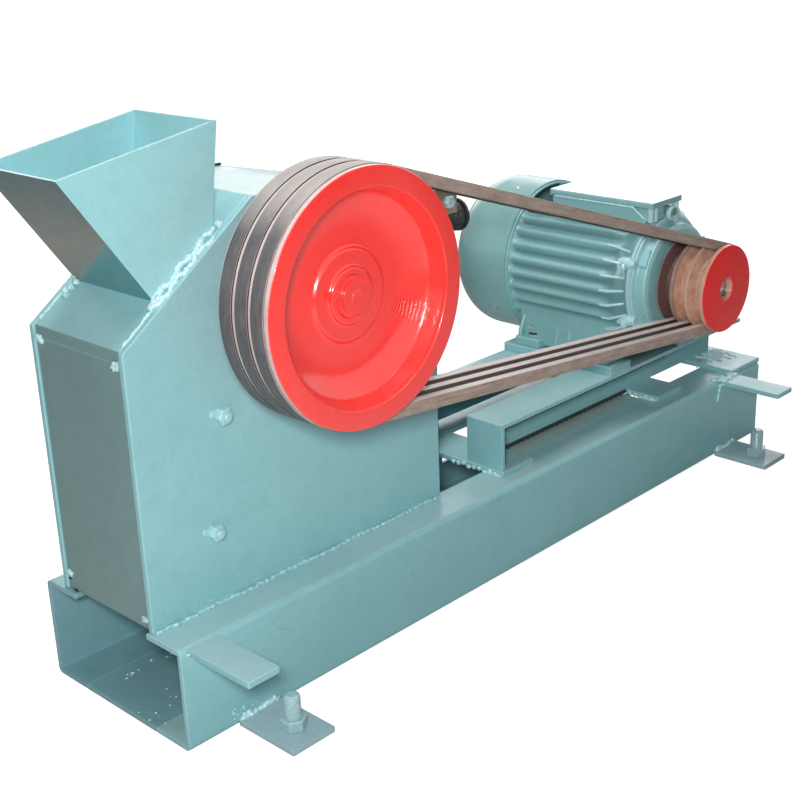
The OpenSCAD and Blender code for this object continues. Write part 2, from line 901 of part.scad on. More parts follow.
placed() far_side() anchor_stud(anchor_x[0]);  // anchor_stud_3
placed() far_side() anchor_stud(anchor_x[1]);  // anchor_stud_4
placed() guard_bracket(bracket_x);  // guard_bracket_front
placed() guard_bracket(rear_bracket_x);  // guard_bracket_rear
placed() motor_frame();
placed() end_shield();
placed() fan_cover();
placed() terminal_box();
placed() cable_gland();
placed() belt_1();
placed() belt_2();
placed() belt_3();
placed() drive_wheel();
placed() crusher_shaft();
placed() motor_pulley();
placed() motor_shaft();
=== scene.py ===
"""Looks of the laboratory jaw crusher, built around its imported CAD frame.

Pieces are laid out in machine coordinates, in millimetres: x runs from the front end of the base, y from
the outer face of the near channel and z from the floor. spot() turns them into the frame's metres.
A colour is (red, green, blue), each from 0 to 255, as a display shows it.
"""

import json
import random
from math import acos, atan2, cos, hypot, pi, radians, remainder, sin, sqrt

import bmesh
import bpy
from mathutils import Matrix, Vector, noise


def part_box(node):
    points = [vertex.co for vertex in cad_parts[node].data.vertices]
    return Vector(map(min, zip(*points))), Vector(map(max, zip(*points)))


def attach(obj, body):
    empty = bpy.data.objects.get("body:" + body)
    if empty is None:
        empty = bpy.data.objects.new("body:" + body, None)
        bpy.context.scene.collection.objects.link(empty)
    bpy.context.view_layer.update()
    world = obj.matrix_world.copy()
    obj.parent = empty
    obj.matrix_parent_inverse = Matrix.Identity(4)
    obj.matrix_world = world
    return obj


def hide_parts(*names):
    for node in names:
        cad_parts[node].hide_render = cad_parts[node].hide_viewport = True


MM = 0.001
TURN = 2 * pi
# Bead settings for wire and seams, which hardly ripple
PLAIN = {"ripple": 9.0, "sway": 0.0}
X, Y, Z = Vector((1, 0, 0)), Vector((0, 1, 0)), Vector((0, 0, 1))

# Vector noise starts from the clock unless it is seeded
noise.seed_set(1)

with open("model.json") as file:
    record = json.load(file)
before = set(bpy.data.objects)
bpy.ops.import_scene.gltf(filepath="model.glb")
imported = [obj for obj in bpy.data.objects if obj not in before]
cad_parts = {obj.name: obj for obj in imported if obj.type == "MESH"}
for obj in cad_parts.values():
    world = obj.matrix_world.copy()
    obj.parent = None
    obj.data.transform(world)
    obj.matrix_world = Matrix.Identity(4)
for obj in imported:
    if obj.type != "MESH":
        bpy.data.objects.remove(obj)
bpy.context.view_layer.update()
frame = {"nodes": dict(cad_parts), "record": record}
NODES = frame["nodes"]
BASE_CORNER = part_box("near_channel")[0]


# -------- places read from the frame


def spot(x, y, z):
    """A machine point in the frame's metres."""
    return BASE_CORNER + Vector((x, y, z)) * MM


def low(node):
    """Lowest corner of a CAD node in machine millimetres."""
    return (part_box(node)[0] - BASE_CORNER) / MM


def high(node):
    """Highest corner of a CAD node in machine millimetres."""
    return (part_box(node)[1] - BASE_CORNER) / MM


def middle(node):
    return (low(node) + high(node)) / 2


BASE_TOP = high("near_channel").z
BASE_FAR = high("far_channel").y
BODY_NEAR = low("near_side_plate").y
BODY_FAR = high("far_side_plate").y
BODY_TOP = high("top_plate").z
RIDGE_X = low("top_plate").x
SHAFT = middle("drive_wheel")
WHEEL_R = (high("drive_wheel").x - low("drive_wheel").x) / 2
MOTOR = middle("motor_pulley")
PULLEY_R = (high("motor_pulley").x - low("motor_pulley").x) / 2
SHAFT_AXIS, MOTOR_AXIS = Vector((SHAFT.x, 0, SHAFT.z)), Vector((MOTOR.x, 0, MOTOR.z))
# Faces of the wheel and pulley, which line up
FACE, RIM_BACK = low("drive_wheel").y, high("motor_pulley").y
# Under side and top of the motor's feet
FOOT_Z = high("motor_bar_front").z
FOOT_TOP = FOOT_Z + 11
PLATE_FRONT = low("near_side_plate").x
PLATE_POINTS = [
    (NODES["near_side_plate"].matrix_world @ vertex.co - BASE_CORNER) / MM
    for vertex in NODES["near_side_plate"].data.vertices
]
# Where the side plates' front edges end, and the slope starts
FRONT_TOP = max(point.z for point in PLATE_POINTS if point.x < PLATE_FRONT + 1)


# -------- material nodes


def linear(channel):
    """Linear share of a display channel."""
    share = channel / 255
    return share / 12.92 if share <= 0.04045 else ((share + 0.055) / 1.055) ** 2.4


class Surface:
    """A node material under construction. Its pattern coordinates are the object's own, in metres."""

    def __init__(self, name):
        self.material = bpy.data.materials.new(name)
        self.material.use_nodes = True
        self.tree = self.material.node_tree
        self.shader = self.tree.nodes["Principled BSDF"]
        self.place = self.add("ShaderNodeTexCoord").outputs["Object"]

    def put(self, socket, value):
        """Feeds a socket with another socket, a colour or a plain value."""
        if isinstance(value, bpy.types.NodeSocket):
            self.tree.links.new(value, socket)
        elif socket.type == "RGBA":
            socket.default_value = (*map(linear, value), 1.0)
        else:
            socket.default_value = value

    def add(self, kind, inputs=None, **settings):
        node = self.tree.nodes.new(kind)
        for key, value in settings.items():
            setattr(node, key, value)
        for key, value in (inputs or {}).items():
            self.put(node.inputs[key], value)
        return node

    def set(self, **values):
        """Sets inputs of the shader; an underscore in a name stands for a space."""
        for key, value in values.items():
            self.put(self.shader.inputs[key.replace("_", " ")], value)

    def stretched(self, x, y, z, place=None):
        inputs = {"Vector": place or self.place, "Scale": (x, y, z)}
        return self.add("ShaderNodeMapping", inputs).outputs[0]

    def noise(self, scale, detail=4.0, roughness=0.55, distortion=0.0, place=None):
        inputs = {"Scale": scale, "Detail": detail, "Roughness": roughness, "Distortion": distortion}
        inputs["Vector"] = place or self.place
        return self.add("ShaderNodeTexNoise", inputs).outputs["Fac"]

    def spread(self, value, from_low, from_high, to_low=0.0, to_high=1.0):
        """Maps a value's range onto another, clamped."""
        inputs = {"Value": value, "From Min": from_low, "From Max": from_high}
        inputs.update({"To Min": to_low, "To Max": to_high})
        return self.add("ShaderNodeMapRange", inputs).outputs[0]

    def math(self, operation, first, second=0.0):
        return self.add("ShaderNodeMath", {0: first, 1: second}, operation=operation).outputs[0]

    def times(self, first, second):
        return self.math("MULTIPLY", first, second)

    def mix(self, share, first, second):
        return self.add("ShaderNodeMix", {0: share, 6: first, 7: second}, data_type="RGBA").outputs[2]

    def vector(self, operation, first, second=(0.0, 0.0, 0.0)):
        return self.add("ShaderNodeVectorMath", {0: first, 1: second}, operation=operation).outputs

    def along(self, axis):
        """One of the object's coordinates, in metres."""
        return self.add("ShaderNodeSeparateXYZ", {"Vector": self.place}).outputs[axis]

    def behind(self, start, full):
        """0 in front of one machine y, rising to 1 at another."""
        return self.spread(self.along(1), spot(0, start, 0).y, spot(0, full, 0).y)

    def facing(self, axis):
        """How far the surface faces along an axis, from -1 to 1."""
        normal = self.add("ShaderNodeNewGeometry").outputs["Normal"]
        return self.add("ShaderNodeSeparateXYZ", {"Vector": normal}).outputs[axis]

    def from_axis(self, centre):
        """Distance from the line along Y through a machine point, in metres."""
        offset = self.vector("SUBTRACT", self.place, spot(*centre))[0]
        return self.vector("LENGTH", self.vector("MULTIPLY", offset, (1.0, 0.0, 1.0))[0])["Value"]

    def bump(self, height, distance, below=None):
        inputs = {"Height": height, "Distance": distance}
        if below is not None:
            inputs["Normal"] = below
        return self.add("ShaderNodeBump", inputs).outputs[0]

    def edges(self, radius):
        """0 on a flat surface, rising to 1 at a sharp edge within the radius."""
        rounded = self.add("ShaderNodeBevel", {"Radius": radius}, samples=4).outputs[0]
        flat = self.add("ShaderNodeNewGeometry").outputs["Normal"]
        return self.spread(self.vector("DOT_PRODUCT", rounded, flat)["Value"], 0.995, 0.88)


def enamel(
    name, tone, pale, deep, gloss=0.3, lumps=1.0, wear_and_sheen=0.5, floor_darkening=0.0, rim=None, coat=0.1, tint=None
):
    """Brushed or sprayed machine enamel over rolled steel, darker towards the floor by a given share, and
    pale at its edges by another, towards the rim colour where given: paint rubbed thin there, and a painted
    highlight.
    Tint, where given, changes the colour further: it takes the surface and the colour so far."""
    s = Surface(name)
    drift = s.noise(5.0, 3.0)
    mottle = s.noise(48.0, 5.0, 0.6)
    grain = s.noise(700.0, 3.0, 0.6)
    colour = s.mix(s.spread(drift, 0.3, 0.7), tone, pale)
    colour = s.mix(s.spread(mottle, 0.45, 0.75, 0.0, 0.3), colour, deep)
    smears = s.noise(16.0, 6.0, 0.7, 1.2, s.stretched(1.0, 1.0, 2.4))
    colour = s.mix(s.spread(smears, 0.6, 0.8, 0.0, 0.25), colour, deep)
    peel = s.noise(230.0, 3.0, 0.65)
    colour = s.mix(s.spread(peel, 0.5, 0.68, 0.0, 0.24), colour, deep)
    colour = s.mix(s.spread(peel, 0.42, 0.3, 0.0, 0.24), colour, pale)
    # Darker towards the floor, by the given share.
    if floor_darkening:
        colour = s.mix(s.spread(s.along(2), 0.13, 0.0, 0.0, floor_darkening), colour, deep)
    if tint:
        colour = tint(s, colour)
    # Pale edges: paint rubbed thin, and a painted highlight along the edges.
    worn_and_sheen = s.times(s.edges(1.8 * MM), s.spread(s.noise(160.0, 4.0), 0.35, 0.62, 0.4, 1.0))
    colour = s.mix(s.times(worn_and_sheen, wear_and_sheen), colour, rim or pale)
    s.set(Base_Color=colour)
    s.set(Roughness=s.spread(mottle, 0.3, 0.75, gloss, gloss + 0.16))
    s.set(Coat_Weight=coat, Coat_Roughness=0.14)
    waves = s.bump(s.noise(11.0, 2.0), 0.9 * MM * lumps)
    dents = s.bump(s.noise(95.0, 4.0, 0.6), 0.22 * MM * lumps, waves)
    peeled = s.bump(peel, 0.1 * MM * lumps, dents)
    s.set(Normal=s.bump(grain, 0.022 * MM * lumps, peeled))
    return s.material


def belt_rubber(name, tone, dusty, deep, worn_and_sheen, back_width=0.0):
    """Belt fabric, streaked along its run. Its UV map is metres along the belt and metres round it.
    Upward faces carry a patchy pale painted highlight. A back of the given width has frayed edges, and the
    other faces carry painted shade between the belts."""
    s = Surface(name)
    run = s.add("ShaderNodeTexCoord").outputs["UV"]
    streaks = s.noise(1.0, 5.0, 0.65, 0.6, s.stretched(26.0, 420.0, 1.0, run))
    dust = s.noise(1.0, 4.0, 0.6, 0.4, s.stretched(60.0, 90.0, 1.0, run))
    threads = {"Scale": 1.0, "Vector": s.stretched(900.0, 900.0, 1.0, run)}
    weave = s.add("ShaderNodeTexVoronoi", threads).outputs["Distance"]
    colour = s.mix(s.spread(dust, 0.35, 0.68), tone, dusty)
    colour = s.mix(s.spread(streaks, 0.5, 0.72, 0.0, 0.75), colour, deep)
    colour = s.mix(s.spread(weave, 0.1, 0.8, 0.0, 0.3), colour, deep)
    # Painted highlight on the upward faces, in patches.
    upward = s.facing(2)
    patchy = s.spread(dust, 0.15, 0.5, 0.6, 1.0)
    colour = s.mix(s.times(s.spread(upward, 0.6, 0.85), patchy), colour, worn_and_sheen)
    if back_width:
        across = s.add("ShaderNodeSeparateXYZ", {"Vector": run}).outputs[1]
        off_middle = s.math("ABSOLUTE", s.math("SUBTRACT", across, back_width / 2))
        frayed = s.spread(off_middle, back_width / 2 - 1.1 * MM, back_width / 2 - 0.4 * MM, 0.0, 0.9)
        patchy = s.spread(dust, 0.2, 0.5, 0.6, 1.0)
        colour = s.mix(s.times(frayed, patchy), colour, (226, 208, 202))
    else:
        # Painted shade on the belts' flanks, between the belts.
        between = s.behind(FACE + 9, FACE + 11)
        colour = s.mix(s.times(between, s.spread(upward, 0.6, 0.5)), colour, (62, 54, 50))
    s.set(Base_Color=colour, Roughness=s.spread(dust, 0.3, 0.7, 0.42, 0.62))
    s.set(Normal=s.bump(weave, 0.08 * MM, s.bump(streaks, 0.12 * MM)))
    return s.material


def bare_metal(name, tone, deep, roughness):
    """Turned or cast metal with stains."""
    s = Surface(name)
    stain = s.noise(120.0, 5.0, 0.6)
    s.set(Base_Color=s.mix(s.spread(stain, 0.35, 0.7), tone, deep))
    s.set(Metallic=1.0, Roughness=s.spread(stain, 0.3, 0.7, roughness, roughness + 0.25))
    s.set(Normal=s.bump(s.noise(900.0, 3.0), 0.03 * MM))
    return s.material


def sagged(s, centre, radius, crest):
    """Height of sagged enamel: concentric waves about a centre, along a strip out to the crest's place."""
    off_x = s.math("SUBTRACT", s.along(0), spot(*crest).x)
    off_z = s.math("SUBTRACT", s.along(2), spot(*crest).z)
    slant = atan2(crest[2] - centre[2], crest[0] - centre[0])
    off_line = s.math("ADD", s.times(off_x, -sin(slant)), s.times(off_z, cos(slant)))
    strip = s.spread(s.math("ABSOLUTE", off_line), 13 * MM, 5 * MM)
    strip = s.times(strip, s.spread(off_x, -60 * MM, -50 * MM))
    dish = s.times(s.spread(radius, 55 * MM, 61 * MM), s.spread(radius, 93 * MM, 92 * MM))
    wander = s.times(s.noise(150.0, 3.0, 0.6), 4.0 * MM)
    waves = s.math("SINE", s.times(s.math("ADD", radius, wander), TURN / (3.4 * MM)))
    return s.times(waves, s.times(strip, dish))


def red_casting(name, centre, rim_r, tone, deep, edge_wear_and_sheen, bare, rust_and_groove_shade=None, crest=None):
    """Red enamel over a turned casting, rubbed to metal on its rim, with pale edges: paint rubbed thin, and
    a painted highlight. Rusty tones,
    where given, show behind the face: two mixed, and a painted shade in the far groove. Crest, where given,
    is a place of sagged enamel."""
    s = Surface(name)
    drift = s.noise(9.0, 3.0)
    mottle = s.noise(70.0, 5.0, 0.6)
    colour = s.mix(s.spread(drift, 0.35, 0.7), tone, deep)
    colour = s.mix(s.spread(mottle, 0.5, 0.8, 0.0, 0.3), colour, deep)
    # Pale edges: paint rubbed thin, and a painted highlight along the edges.
    colour = s.mix(s.times(s.edges(1.3 * MM), 0.4), colour, edge_wear_and_sheen)
    radius = s.from_axis(centre)
    patches = s.spread(s.noise(150.0, 4.0), 0.3, 0.6, 0.75, 1.0)
    land = s.spread(radius, (rim_r - 0.9) * MM, (rim_r - 0.25) * MM)
    behind_face = s.behind(FACE + 0.5, FACE + 1.1)
    if rust_and_groove_shade:
        scale = s.mix(s.spread(s.noise(55.0, 5.0, 0.7), 0.35, 0.65), rust_and_groove_shade[0], rust_and_groove_shade[1])
        # The far groove darker: painted shade.
        far_groove_shade = s.behind(-31, -29)
        colour = s.mix(behind_face, colour, s.mix(far_groove_shade, scale, rust_and_groove_shade[2]))
        patches = s.times(patches, 0.45)
    colour = s.mix(s.times(s.times(land, patches), behind_face), colour, bare)
    s.set(Base_Color=colour, Roughness=s.spread(mottle, 0.3, 0.75, 0.2, 0.34))
    s.set(Coat_Weight=1.0 if crest else 0.1, Coat_Roughness=0.14)
    waves = s.bump(s.noise(16.0, 2.0), 0.7 * MM)
    dents = s.bump(s.noise(120.0, 4.0, 0.6), 0.3 * MM, waves)
    if crest:
        dents = s.bump(sagged(s, centre, radius, crest), 0.3 * MM, dents)
    s.set(Normal=s.bump(s.noise(420.0, 3.0), 0.05 * MM, dents))
    return s.material


def hopper_front_shade(s, colour):
    """Painted shade on the hopper's overhanging front, which faces down: dull olive, browner half way down,
    and teal at its lower near side.
    """
    height = s.along(2)
    olive = s.mix(s.spread(height, 0.495, 0.43), (72, 102, 101), (129, 131, 123))
    slope = 0.54
    lean = s.math("ADD", height, s.times(s.along(1), slope))
    lean = s.math("ADD", lean, s.times(s.noise(24.0, 3.0), 0.006))
    start = spot(0, 60, 442)
    line = start.z + start.y * slope
    olive = s.mix(s.spread(lean, line + 0.002, line - 0.002), olive, (84, 142, 148))
    return s.mix(s.spread(s.facing(2), -0.35, -0.5), colour, olive)


def pale_lit_tops(s, colour):
    """Painted light: a patchy pale tint on the faces that look straight up."""
    patchy = s.spread(s.noise(14.0, 4.0), 0.35, 0.6, 0.16, 0.34)
    return s.mix(s.times(s.spread(s.facing(2), 0.8, 0.95), patchy), colour, (206, 210, 208))


def shaded_front(s, colour):
    """Painted shade on the slope's front lip, as dark as the painted-shade plate under it."""
    return s.mix(s.spread(s.facing(0), -0.85, -0.95), colour, (112, 146, 146))


def fin_shade_and_crest_light(s, colour):
    """Motor casing: painted shade between the fins, and a painted highlight along their crests."""
    depth = s.from_axis(MOTOR)
    colour = s.mix(s.spread(depth, 86.5 * MM, 83.5 * MM, 0.0, 0.75), colour, (84, 132, 136))
    return s.mix(s.spread(depth, 88.6 * MM, 90.6 * MM, 0.0, 0.6), colour, (170, 212, 214))


# A rim colour, where given, is the pale of the edges: paint rubbed thin, and a painted highlight.
TEAL_TONES = ((138, 191, 196), (148, 201, 206), (120, 174, 179))
TEAL = enamel("teal_enamel", *TEAL_TONES, wear_and_sheen=0.6, floor_darkening=0.3, rim=(190, 228, 232), tint=pale_lit_tops)
SLOPE_TEAL = enamel("slope_enamel", *TEAL_TONES, wear_and_sheen=0.6, rim=(190, 228, 232), tint=shaded_front)
# The hopper's tones are a lighter copy of the teal, as painted light; its front takes painted shade.
HOPPER_LIT_TONES = ((148, 204, 209), (158, 212, 217), (132, 188, 193))
HOPPER_LIT_AND_SHADED_TEAL = enamel("hopper_lit_and_shaded_enamel", *HOPPER_LIT_TONES, rim=(180, 222, 226), tint=hopper_front_shade)
ROOF_TONES = ((148, 184, 185), (158, 194, 195), (132, 168, 169))
ROOF_TEAL = enamel("roof_enamel", *ROOF_TONES, gloss=0.34, lumps=0.25, tint=pale_lit_tops)
INNER_TEAL = enamel("inner_enamel", (122, 166, 175), (134, 178, 186), (104, 146, 154), floor_darkening=0.2)
# A darker, duller copy of the teal: painted shade for the parts in the shade_paint slot.
PAINTED_SHADE_TEAL = enamel("painted_shade_enamel", (110, 142, 141), (120, 152, 150), (100, 130, 128), 0.42, 0.6)
# Tan: a painted reflection of the red wheel and brown belts on the bracket's teal.
BRACKET_REFLECTION_TAN = enamel("bracket_reflection_enamel", (150, 136, 114), (162, 148, 128), (120, 110, 94), 0.5)
MOTOR_TONES = ((134, 184, 186), (148, 196, 198), (112, 162, 164))
MOTOR_PAINT = enamel("motor_enamel", *MOTOR_TONES, lumps=0.7)
LID_PAINT = enamel("lid_enamel", *MOTOR_TONES, gloss=0.2, lumps=0.3, coat=1.0)
CASING_PAINT = enamel("casing_enamel", (130, 180, 183), (144, 192, 194), (110, 160, 162), tint=fin_shade_and_crest_light)
COVER_PAINT = enamel("cover_enamel", (132, 180, 180), (142, 190, 189), (116, 162, 162), 0.24, 0.5)
# A lighter copy of the motor's paint: painted light on the end shield.
SHIELD_LIT_PAINT = enamel("shield_lit_enamel", (148, 200, 203), (160, 210, 213), (126, 176, 179), lumps=0.6)
TAB_PAINT = enamel("tab_enamel", (150, 176, 184), (164, 190, 196), (132, 156, 162), wear_and_sheen=0.6)
# Paler than the plates' teal: a painted highlight on the side plates' foot seams and the side nuts.
SEAM_HIGHLIGHT_PAINT = enamel("seam_highlight_enamel", (148, 198, 204), (172, 214, 219), (124, 176, 182), 0.2, 1.5)
# Pale teal: a painted highlight on welds, spatter, paint runs, fin ends, rings, posts and bolt heads.
PALE_HIGHLIGHT_PAINT = enamel("pale_highlight_enamel", (172, 214, 220), (204, 234, 238), (138, 188, 194), 0.16, 2.0)
STUD_PAINT = enamel("stud_enamel", (128, 168, 172), (170, 202, 206), (84, 118, 124), 0.14, coat=0.6)
# Near black: for the spring washers and the dark tacks, and as painted shade for dark lines in gaps and
# along edges.
BLACK_AND_SHADOW_PAINT = enamel("black_and_shadow_enamel", (26, 34, 36), (34, 44, 46), (20, 26, 28), 0.6, wear_and_sheen=0.1, coat=0.0)
# Pale grey: painted light, standing in for the lit inside of the base seen under the near rail.
SILL_LIT_PAINT = enamel("sill_lit_enamel", (168, 182, 178), (178, 190, 186), (140, 146, 138), 0.36)
SPRING_PAINT = enamel("spring_enamel", (30, 36, 38), (42, 50, 52), (20, 25, 27), 0.4)
# The third tone of each red is the pale of its edges: paint rubbed thin, and a painted highlight.
RED_TONES = ((254, 66, 60), (250, 54, 48), (255, 124, 116), (212, 200, 197))
RED = red_casting("red_enamel", SHAFT, WHEEL_R, *RED_TONES, crest=(SHAFT.x + 71, FACE, SHAFT.z - 29))
PULLEY_TONES = ((255, 28, 26), (240, 20, 20), (255, 110, 100), (206, 178, 160))
# Two rusty tones, and a third for painted shade in the far groove.
RUST_AND_GROOVE_SHADE = ((224, 178, 154), (188, 146, 126), (110, 82, 78))
PULLEY_RED = red_casting("pulley_enamel", MOTOR, PULLEY_R, *PULLEY_TONES, rust_and_groove_shade=RUST_AND_GROOVE_SHADE)
# The fourth tone of each belt is the painted highlight on its upward faces.
BACK_TONES = ((92, 90, 94), (112, 106, 108), (62, 60, 63), (172, 166, 162))
BELT_BACK = belt_rubber("belt_back", *BACK_TONES, back_width=16.0 * MM)
SIDE_TONES = ((160, 142, 130), (184, 166, 154), (104, 90, 82), (234, 220, 214))
BELT_SIDE = belt_rubber("belt_side", *SIDE_TONES)
JAW = bare_metal("jaw_steel", (120, 116, 112), (88, 80, 74), 0.5)
STEEL = bare_metal("turned_steel", (196, 196, 198), (130, 126, 124), 0.24)

SLOT_MATERIALS = {
    "teal_paint": TEAL,
    "shade_paint": PAINTED_SHADE_TEAL,
    "motor_paint": MOTOR_PAINT,
    "red_paint": RED,
    "belt_rubber": BELT_BACK,
    "jaw_steel": JAW,
    "bare_steel": STEEL,
}
NODE_MATERIALS = {
    "hopper": HOPPER_LIT_AND_SHADED_TEAL,
    "floor_plate": INNER_TEAL,
    "far_channel": INNER_TEAL,
    "rear_bracket": BRACKET_REFLECTION_TAN,
    "top_plate": ROOF_TEAL,
    "roof_plate": ROOF_TEAL,
    "fan_cover": COVER_PAINT,
    "slope_plate": SLOPE_TEAL,
    "terminal_box": LID_PAINT,
    "crusher_shaft": RED,
}
for number in range(1, 5):
    NODE_MATERIALS[f"anchor_tab_{number}"] = TAB_PAINT
    NODE_MATERIALS[f"anchor_stud_{number}"] = STUD_PAINT


# -------- mesh making


class Shape:
    """Points and faces of one piece while it is being made. Points are machine millimetres."""

    def __init__(self):
        self.points = []
        self.faces = []

    def sheet(self, rows, loop=False):
        """Joins closed rows of points with quads."""
        first, count, width = len(self.points), len(rows), len(rows[0])
        for row in rows:
            self.points.extend(row)
        for i in range(count if loop else count - 1):
            here, there = first + i * width, first + (i + 1) % count * width
            for j in range(width):
                k = (j + 1) % width
                self.faces.append((here + j, here + k, there + k, there + j))

    def closed_tube(self, rings):
        """A tube of rings whose two ends are capped."""
        first, width = len(self.points), len(rings[0])
        self.sheet(rings)
        last = len(self.points) - width
        self.faces.append(tuple(range(first, first + width)))
        self.faces.append(tuple(range(last, last + width)))

    def turned(self, centre, axis, profile, sides, loop=False, steps=4):
        """Turns a profile of (radius, distance along the axis, corner size if any) about an axis."""
        u, v = square_to(axis)
        rows = []
        for radius, along in rounded(profile, loop, steps):
            hub = Vector(centre) + axis * along
            rows.append([hub + (u * cos(t) + v * sin(t)) * radius for t in turns(sides)])
        self.sheet(rows, loop)

    def block(self, corner, far_corner):
        """A box between two corners."""
        a, b = Vector(corner), Vector(far_corner)
        self.slab([(a.x, a.y, a.z), (b.x, a.y, a.z), (b.x, b.y, a.z), (a.x, b.y, a.z)], Z * (b.z - a.z))

    def slab(self, outline, push):
        """A flat outline pushed into a solid."""
        outline, push = [Vector(p) for p in outline], Vector(push)
        self.closed_tube([outline, [p + push for p in outline]])

    def lump(self, centre, size, seed, uneven=0.3):
        """A small uneven ball, as wide as size each way from its centre."""
        centre, size = Vector(centre), Vector(size)
        rows = []
        for i in range(7):
            lift = pi * i / 6
            row = []
            for t in turns(9):
                way = Vector((sin(lift) * cos(t), sin(lift) * sin(t), cos(lift)))
                swell = 1 + uneven * noise.noise(way * 1.7 + Vector((seed * 7.3, seed * 1.9, 0.0)))
                row.append(centre + way * size * swell)
            rows.append(row)
        self.sheet(rows)

    def lumps(self, places, size, seed, uneven=0.6):
        """A lump at each place, with seeds that count up from the first."""
        for k, place in enumerate(places):
            self.lump(place, size, seed + k, uneven)

    def bead(self, path, radius, seed, step=1.1, lumpy=0.35, ripple=4.2, sway=0.5, taper=3.0):
        """A weld bead along a path: a tube with a lumpy, rippled radius."""
        path = even_path([Vector(p) for p in path], step)
        rings = []
        for i, here in enumerate(path):
            ahead = (path[min(i + 1, len(path) - 1)] - path[max(i - 1, 0)]).normalized()
            u, v = square_to(ahead)
            run = i * step
            shake = noise.noise_vector(here * 0.16 + Vector((seed, 0, 0))) * radius * sway
            size = 1 + lumpy * noise.noise(here * 0.3 + Vector((0, seed * 3.1, 0)))
            size += 0.14 * sin(TURN * run / ripple + seed)
            ends = min(1.0, (run + 0.3) / taper, ((len(path) - 1) * step - run + 0.3) / taper)
            size *= radius * sqrt(max(ends, 0.02))
            rings.append([here + shake + (u * cos(t) + v * sin(t)) * size for t in turns(9)])
        self.closed_tube(rings)


def shares(count):
    """Numbers from 0 to 1 in equal steps."""
    return [k / count for k in range(count + 1)]


def turns(count):
    """Angles of a full turn in equal steps."""
    return [TURN * i / count for i in range(count)]


def clamp(value):
    return min(1.0, max(0.0, value))


def square_to(axis):
    """Two unit vectors square to an axis and to each other."""
    helper = Z if abs(axis.z) < 0.9 else X
    u = axis.cross(helper).normalized()
    return u, axis.cross(u).normalized()


def even_path(path, step):
    """Points at even distances along a path of straight runs."""
    result, left = [path[0].copy()], 0.0
    for start, end in zip(path, path[1:]):
        length = (end - start).length
        reached = step - left
        while reached <= length:
            result.append(start.lerp(end, reached / length))
            reached += step
        left = length - (reached - step)
    return result


def rounded(profile, loop=False, steps=4):
    """Rounds a profile's corners; each is (radius, along) or (radius, along, corner size)."""
    result, count = [], len(profile)
    for i, corner in enumerate(profile):
        here, size = Vector(corner[:2]), corner[2] if len(corner) > 2 else 0.0
        if not size or (not loop and i in (0, count - 1)):
            result.append(tuple(here))
            continue
        before = Vector(profile[i - 1][:2]) - here
        after = Vector(profile[(i + 1) % count][:2]) - here
        start = here + before.normalized() * min(size, before.length * 0.48)
        end = here + after.normalized() * min(size, after.length * 0.48)
        for t in shares(steps):
            result.append(tuple(start.lerp(here, t).lerp(here.lerp(end, t), t)))
    return result


def add_object(name, data):
    """Puts a new object into the scene."""
    thing = bpy.data.objects.new(name, data)
    bpy.context.scene.collection.objects.link(thing)
    return thing


def build(name, shape, material, sharp=40.0, bevel=0.0, body="frame", stands_for=None):
    """Makes a piece of a shape and rides it on a body."""
    mesh = bpy.data.meshes.new(name)
    mesh.from_pydata([spot(*p) for p in shape.points], [], shape.faces)
    work = bmesh.new()
    work.from_mesh(mesh)
    bmesh.ops.remove_doubles(work, verts=work.verts, dist=0.004 * MM)
    bmesh.ops.recalc_face_normals(work, faces=work.faces)
    work.to_mesh(mesh)
    work.free()
    mesh.shade_smooth()
    mesh.set_sharp_from_angle(angle=radians(sharp))
    mesh.materials.append(material)
    piece = add_object(name, mesh)
    if bevel:
        soften(piece, bevel * MM)
    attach(piece, body)
    if stands_for:
        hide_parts(stands_for)
    return piece


def soften(piece, width):
    """Rounds a piece's sharp edges without touching its mesh."""
    weld = piece.modifiers.new("weld", "WELD")
    weld.merge_threshold = 0.01 * MM
    bevel = piece.modifiers.new("bevel", "BEVEL")
    bevel.width = width
    bevel.segments = 2
    bevel.limit_method = "ANGLE"
    bevel.angle_limit = radians(35)
    bevel.use_clamp_overlap = True
    shading = piece.modifiers.new("shading", "WEIGHTED_NORMAL")
    shading.keep_sharp = True


# -------- CAD nodes: finish and soft edges

# How much each node's edges are rounded, in millimetres
EDGE_WIDTHS = {
    0.6: "floor_plate hopper",
    0.8: "near_channel far_channel top_plate roof_plate motor_shaft cable_gland",
    1.0: "near_rail far_rail motor_bar_front motor_bar_rear near_side_plate far_side_plate front_plate "
    "slope_plate back_plate rear_bracket guard_bracket_front guard_bracket_rear "
    "anchor_tab_1 anchor_tab_2 anchor_tab_3 anchor_tab_4",
    1.2: "rear_deck cross_bar_front cross_bar_rear crusher_shaft",
    2.0: "terminal_box",
}

for row in frame["record"]["subparts"]:
    node = row["node"]
    piece = NODES[node]
    piece.data.materials.clear()
    piece.data.materials.append(NODE_MATERIALS.get(node, SLOT_MATERIALS[row["material_slot"]]))
    for width, nodes in EDGE_WIDTHS.items():
        if node in nodes.split():
            soften(piece, width * MM)


# -------- wheel, pulley and belts

GROOVES = (SHAFT.y - 19, SHAFT.y, SHAFT.y + 19)
GROOVE_HALF, GROOVE_DEPTH, FOOT_HALF = 8.0, 13.0, 3.78


def grooved(radius):
    """Rim profile from the face to the back, with its belt grooves."""
    profile = [(radius, FACE, 1.0)]
    for y in GROOVES:
        profile += [
            (radius, y - GROOVE_HALF, 0.5), (radius - GROOVE_DEPTH, y - FOOT_HALF, 0.6),
            (radius - GROOVE_DEPTH, y + FOOT_HALF, 0.6), (radius, y + GROOVE_HALF, 0.5),
        ]
    return profile + [(radius, RIM_BACK, 0.8)]


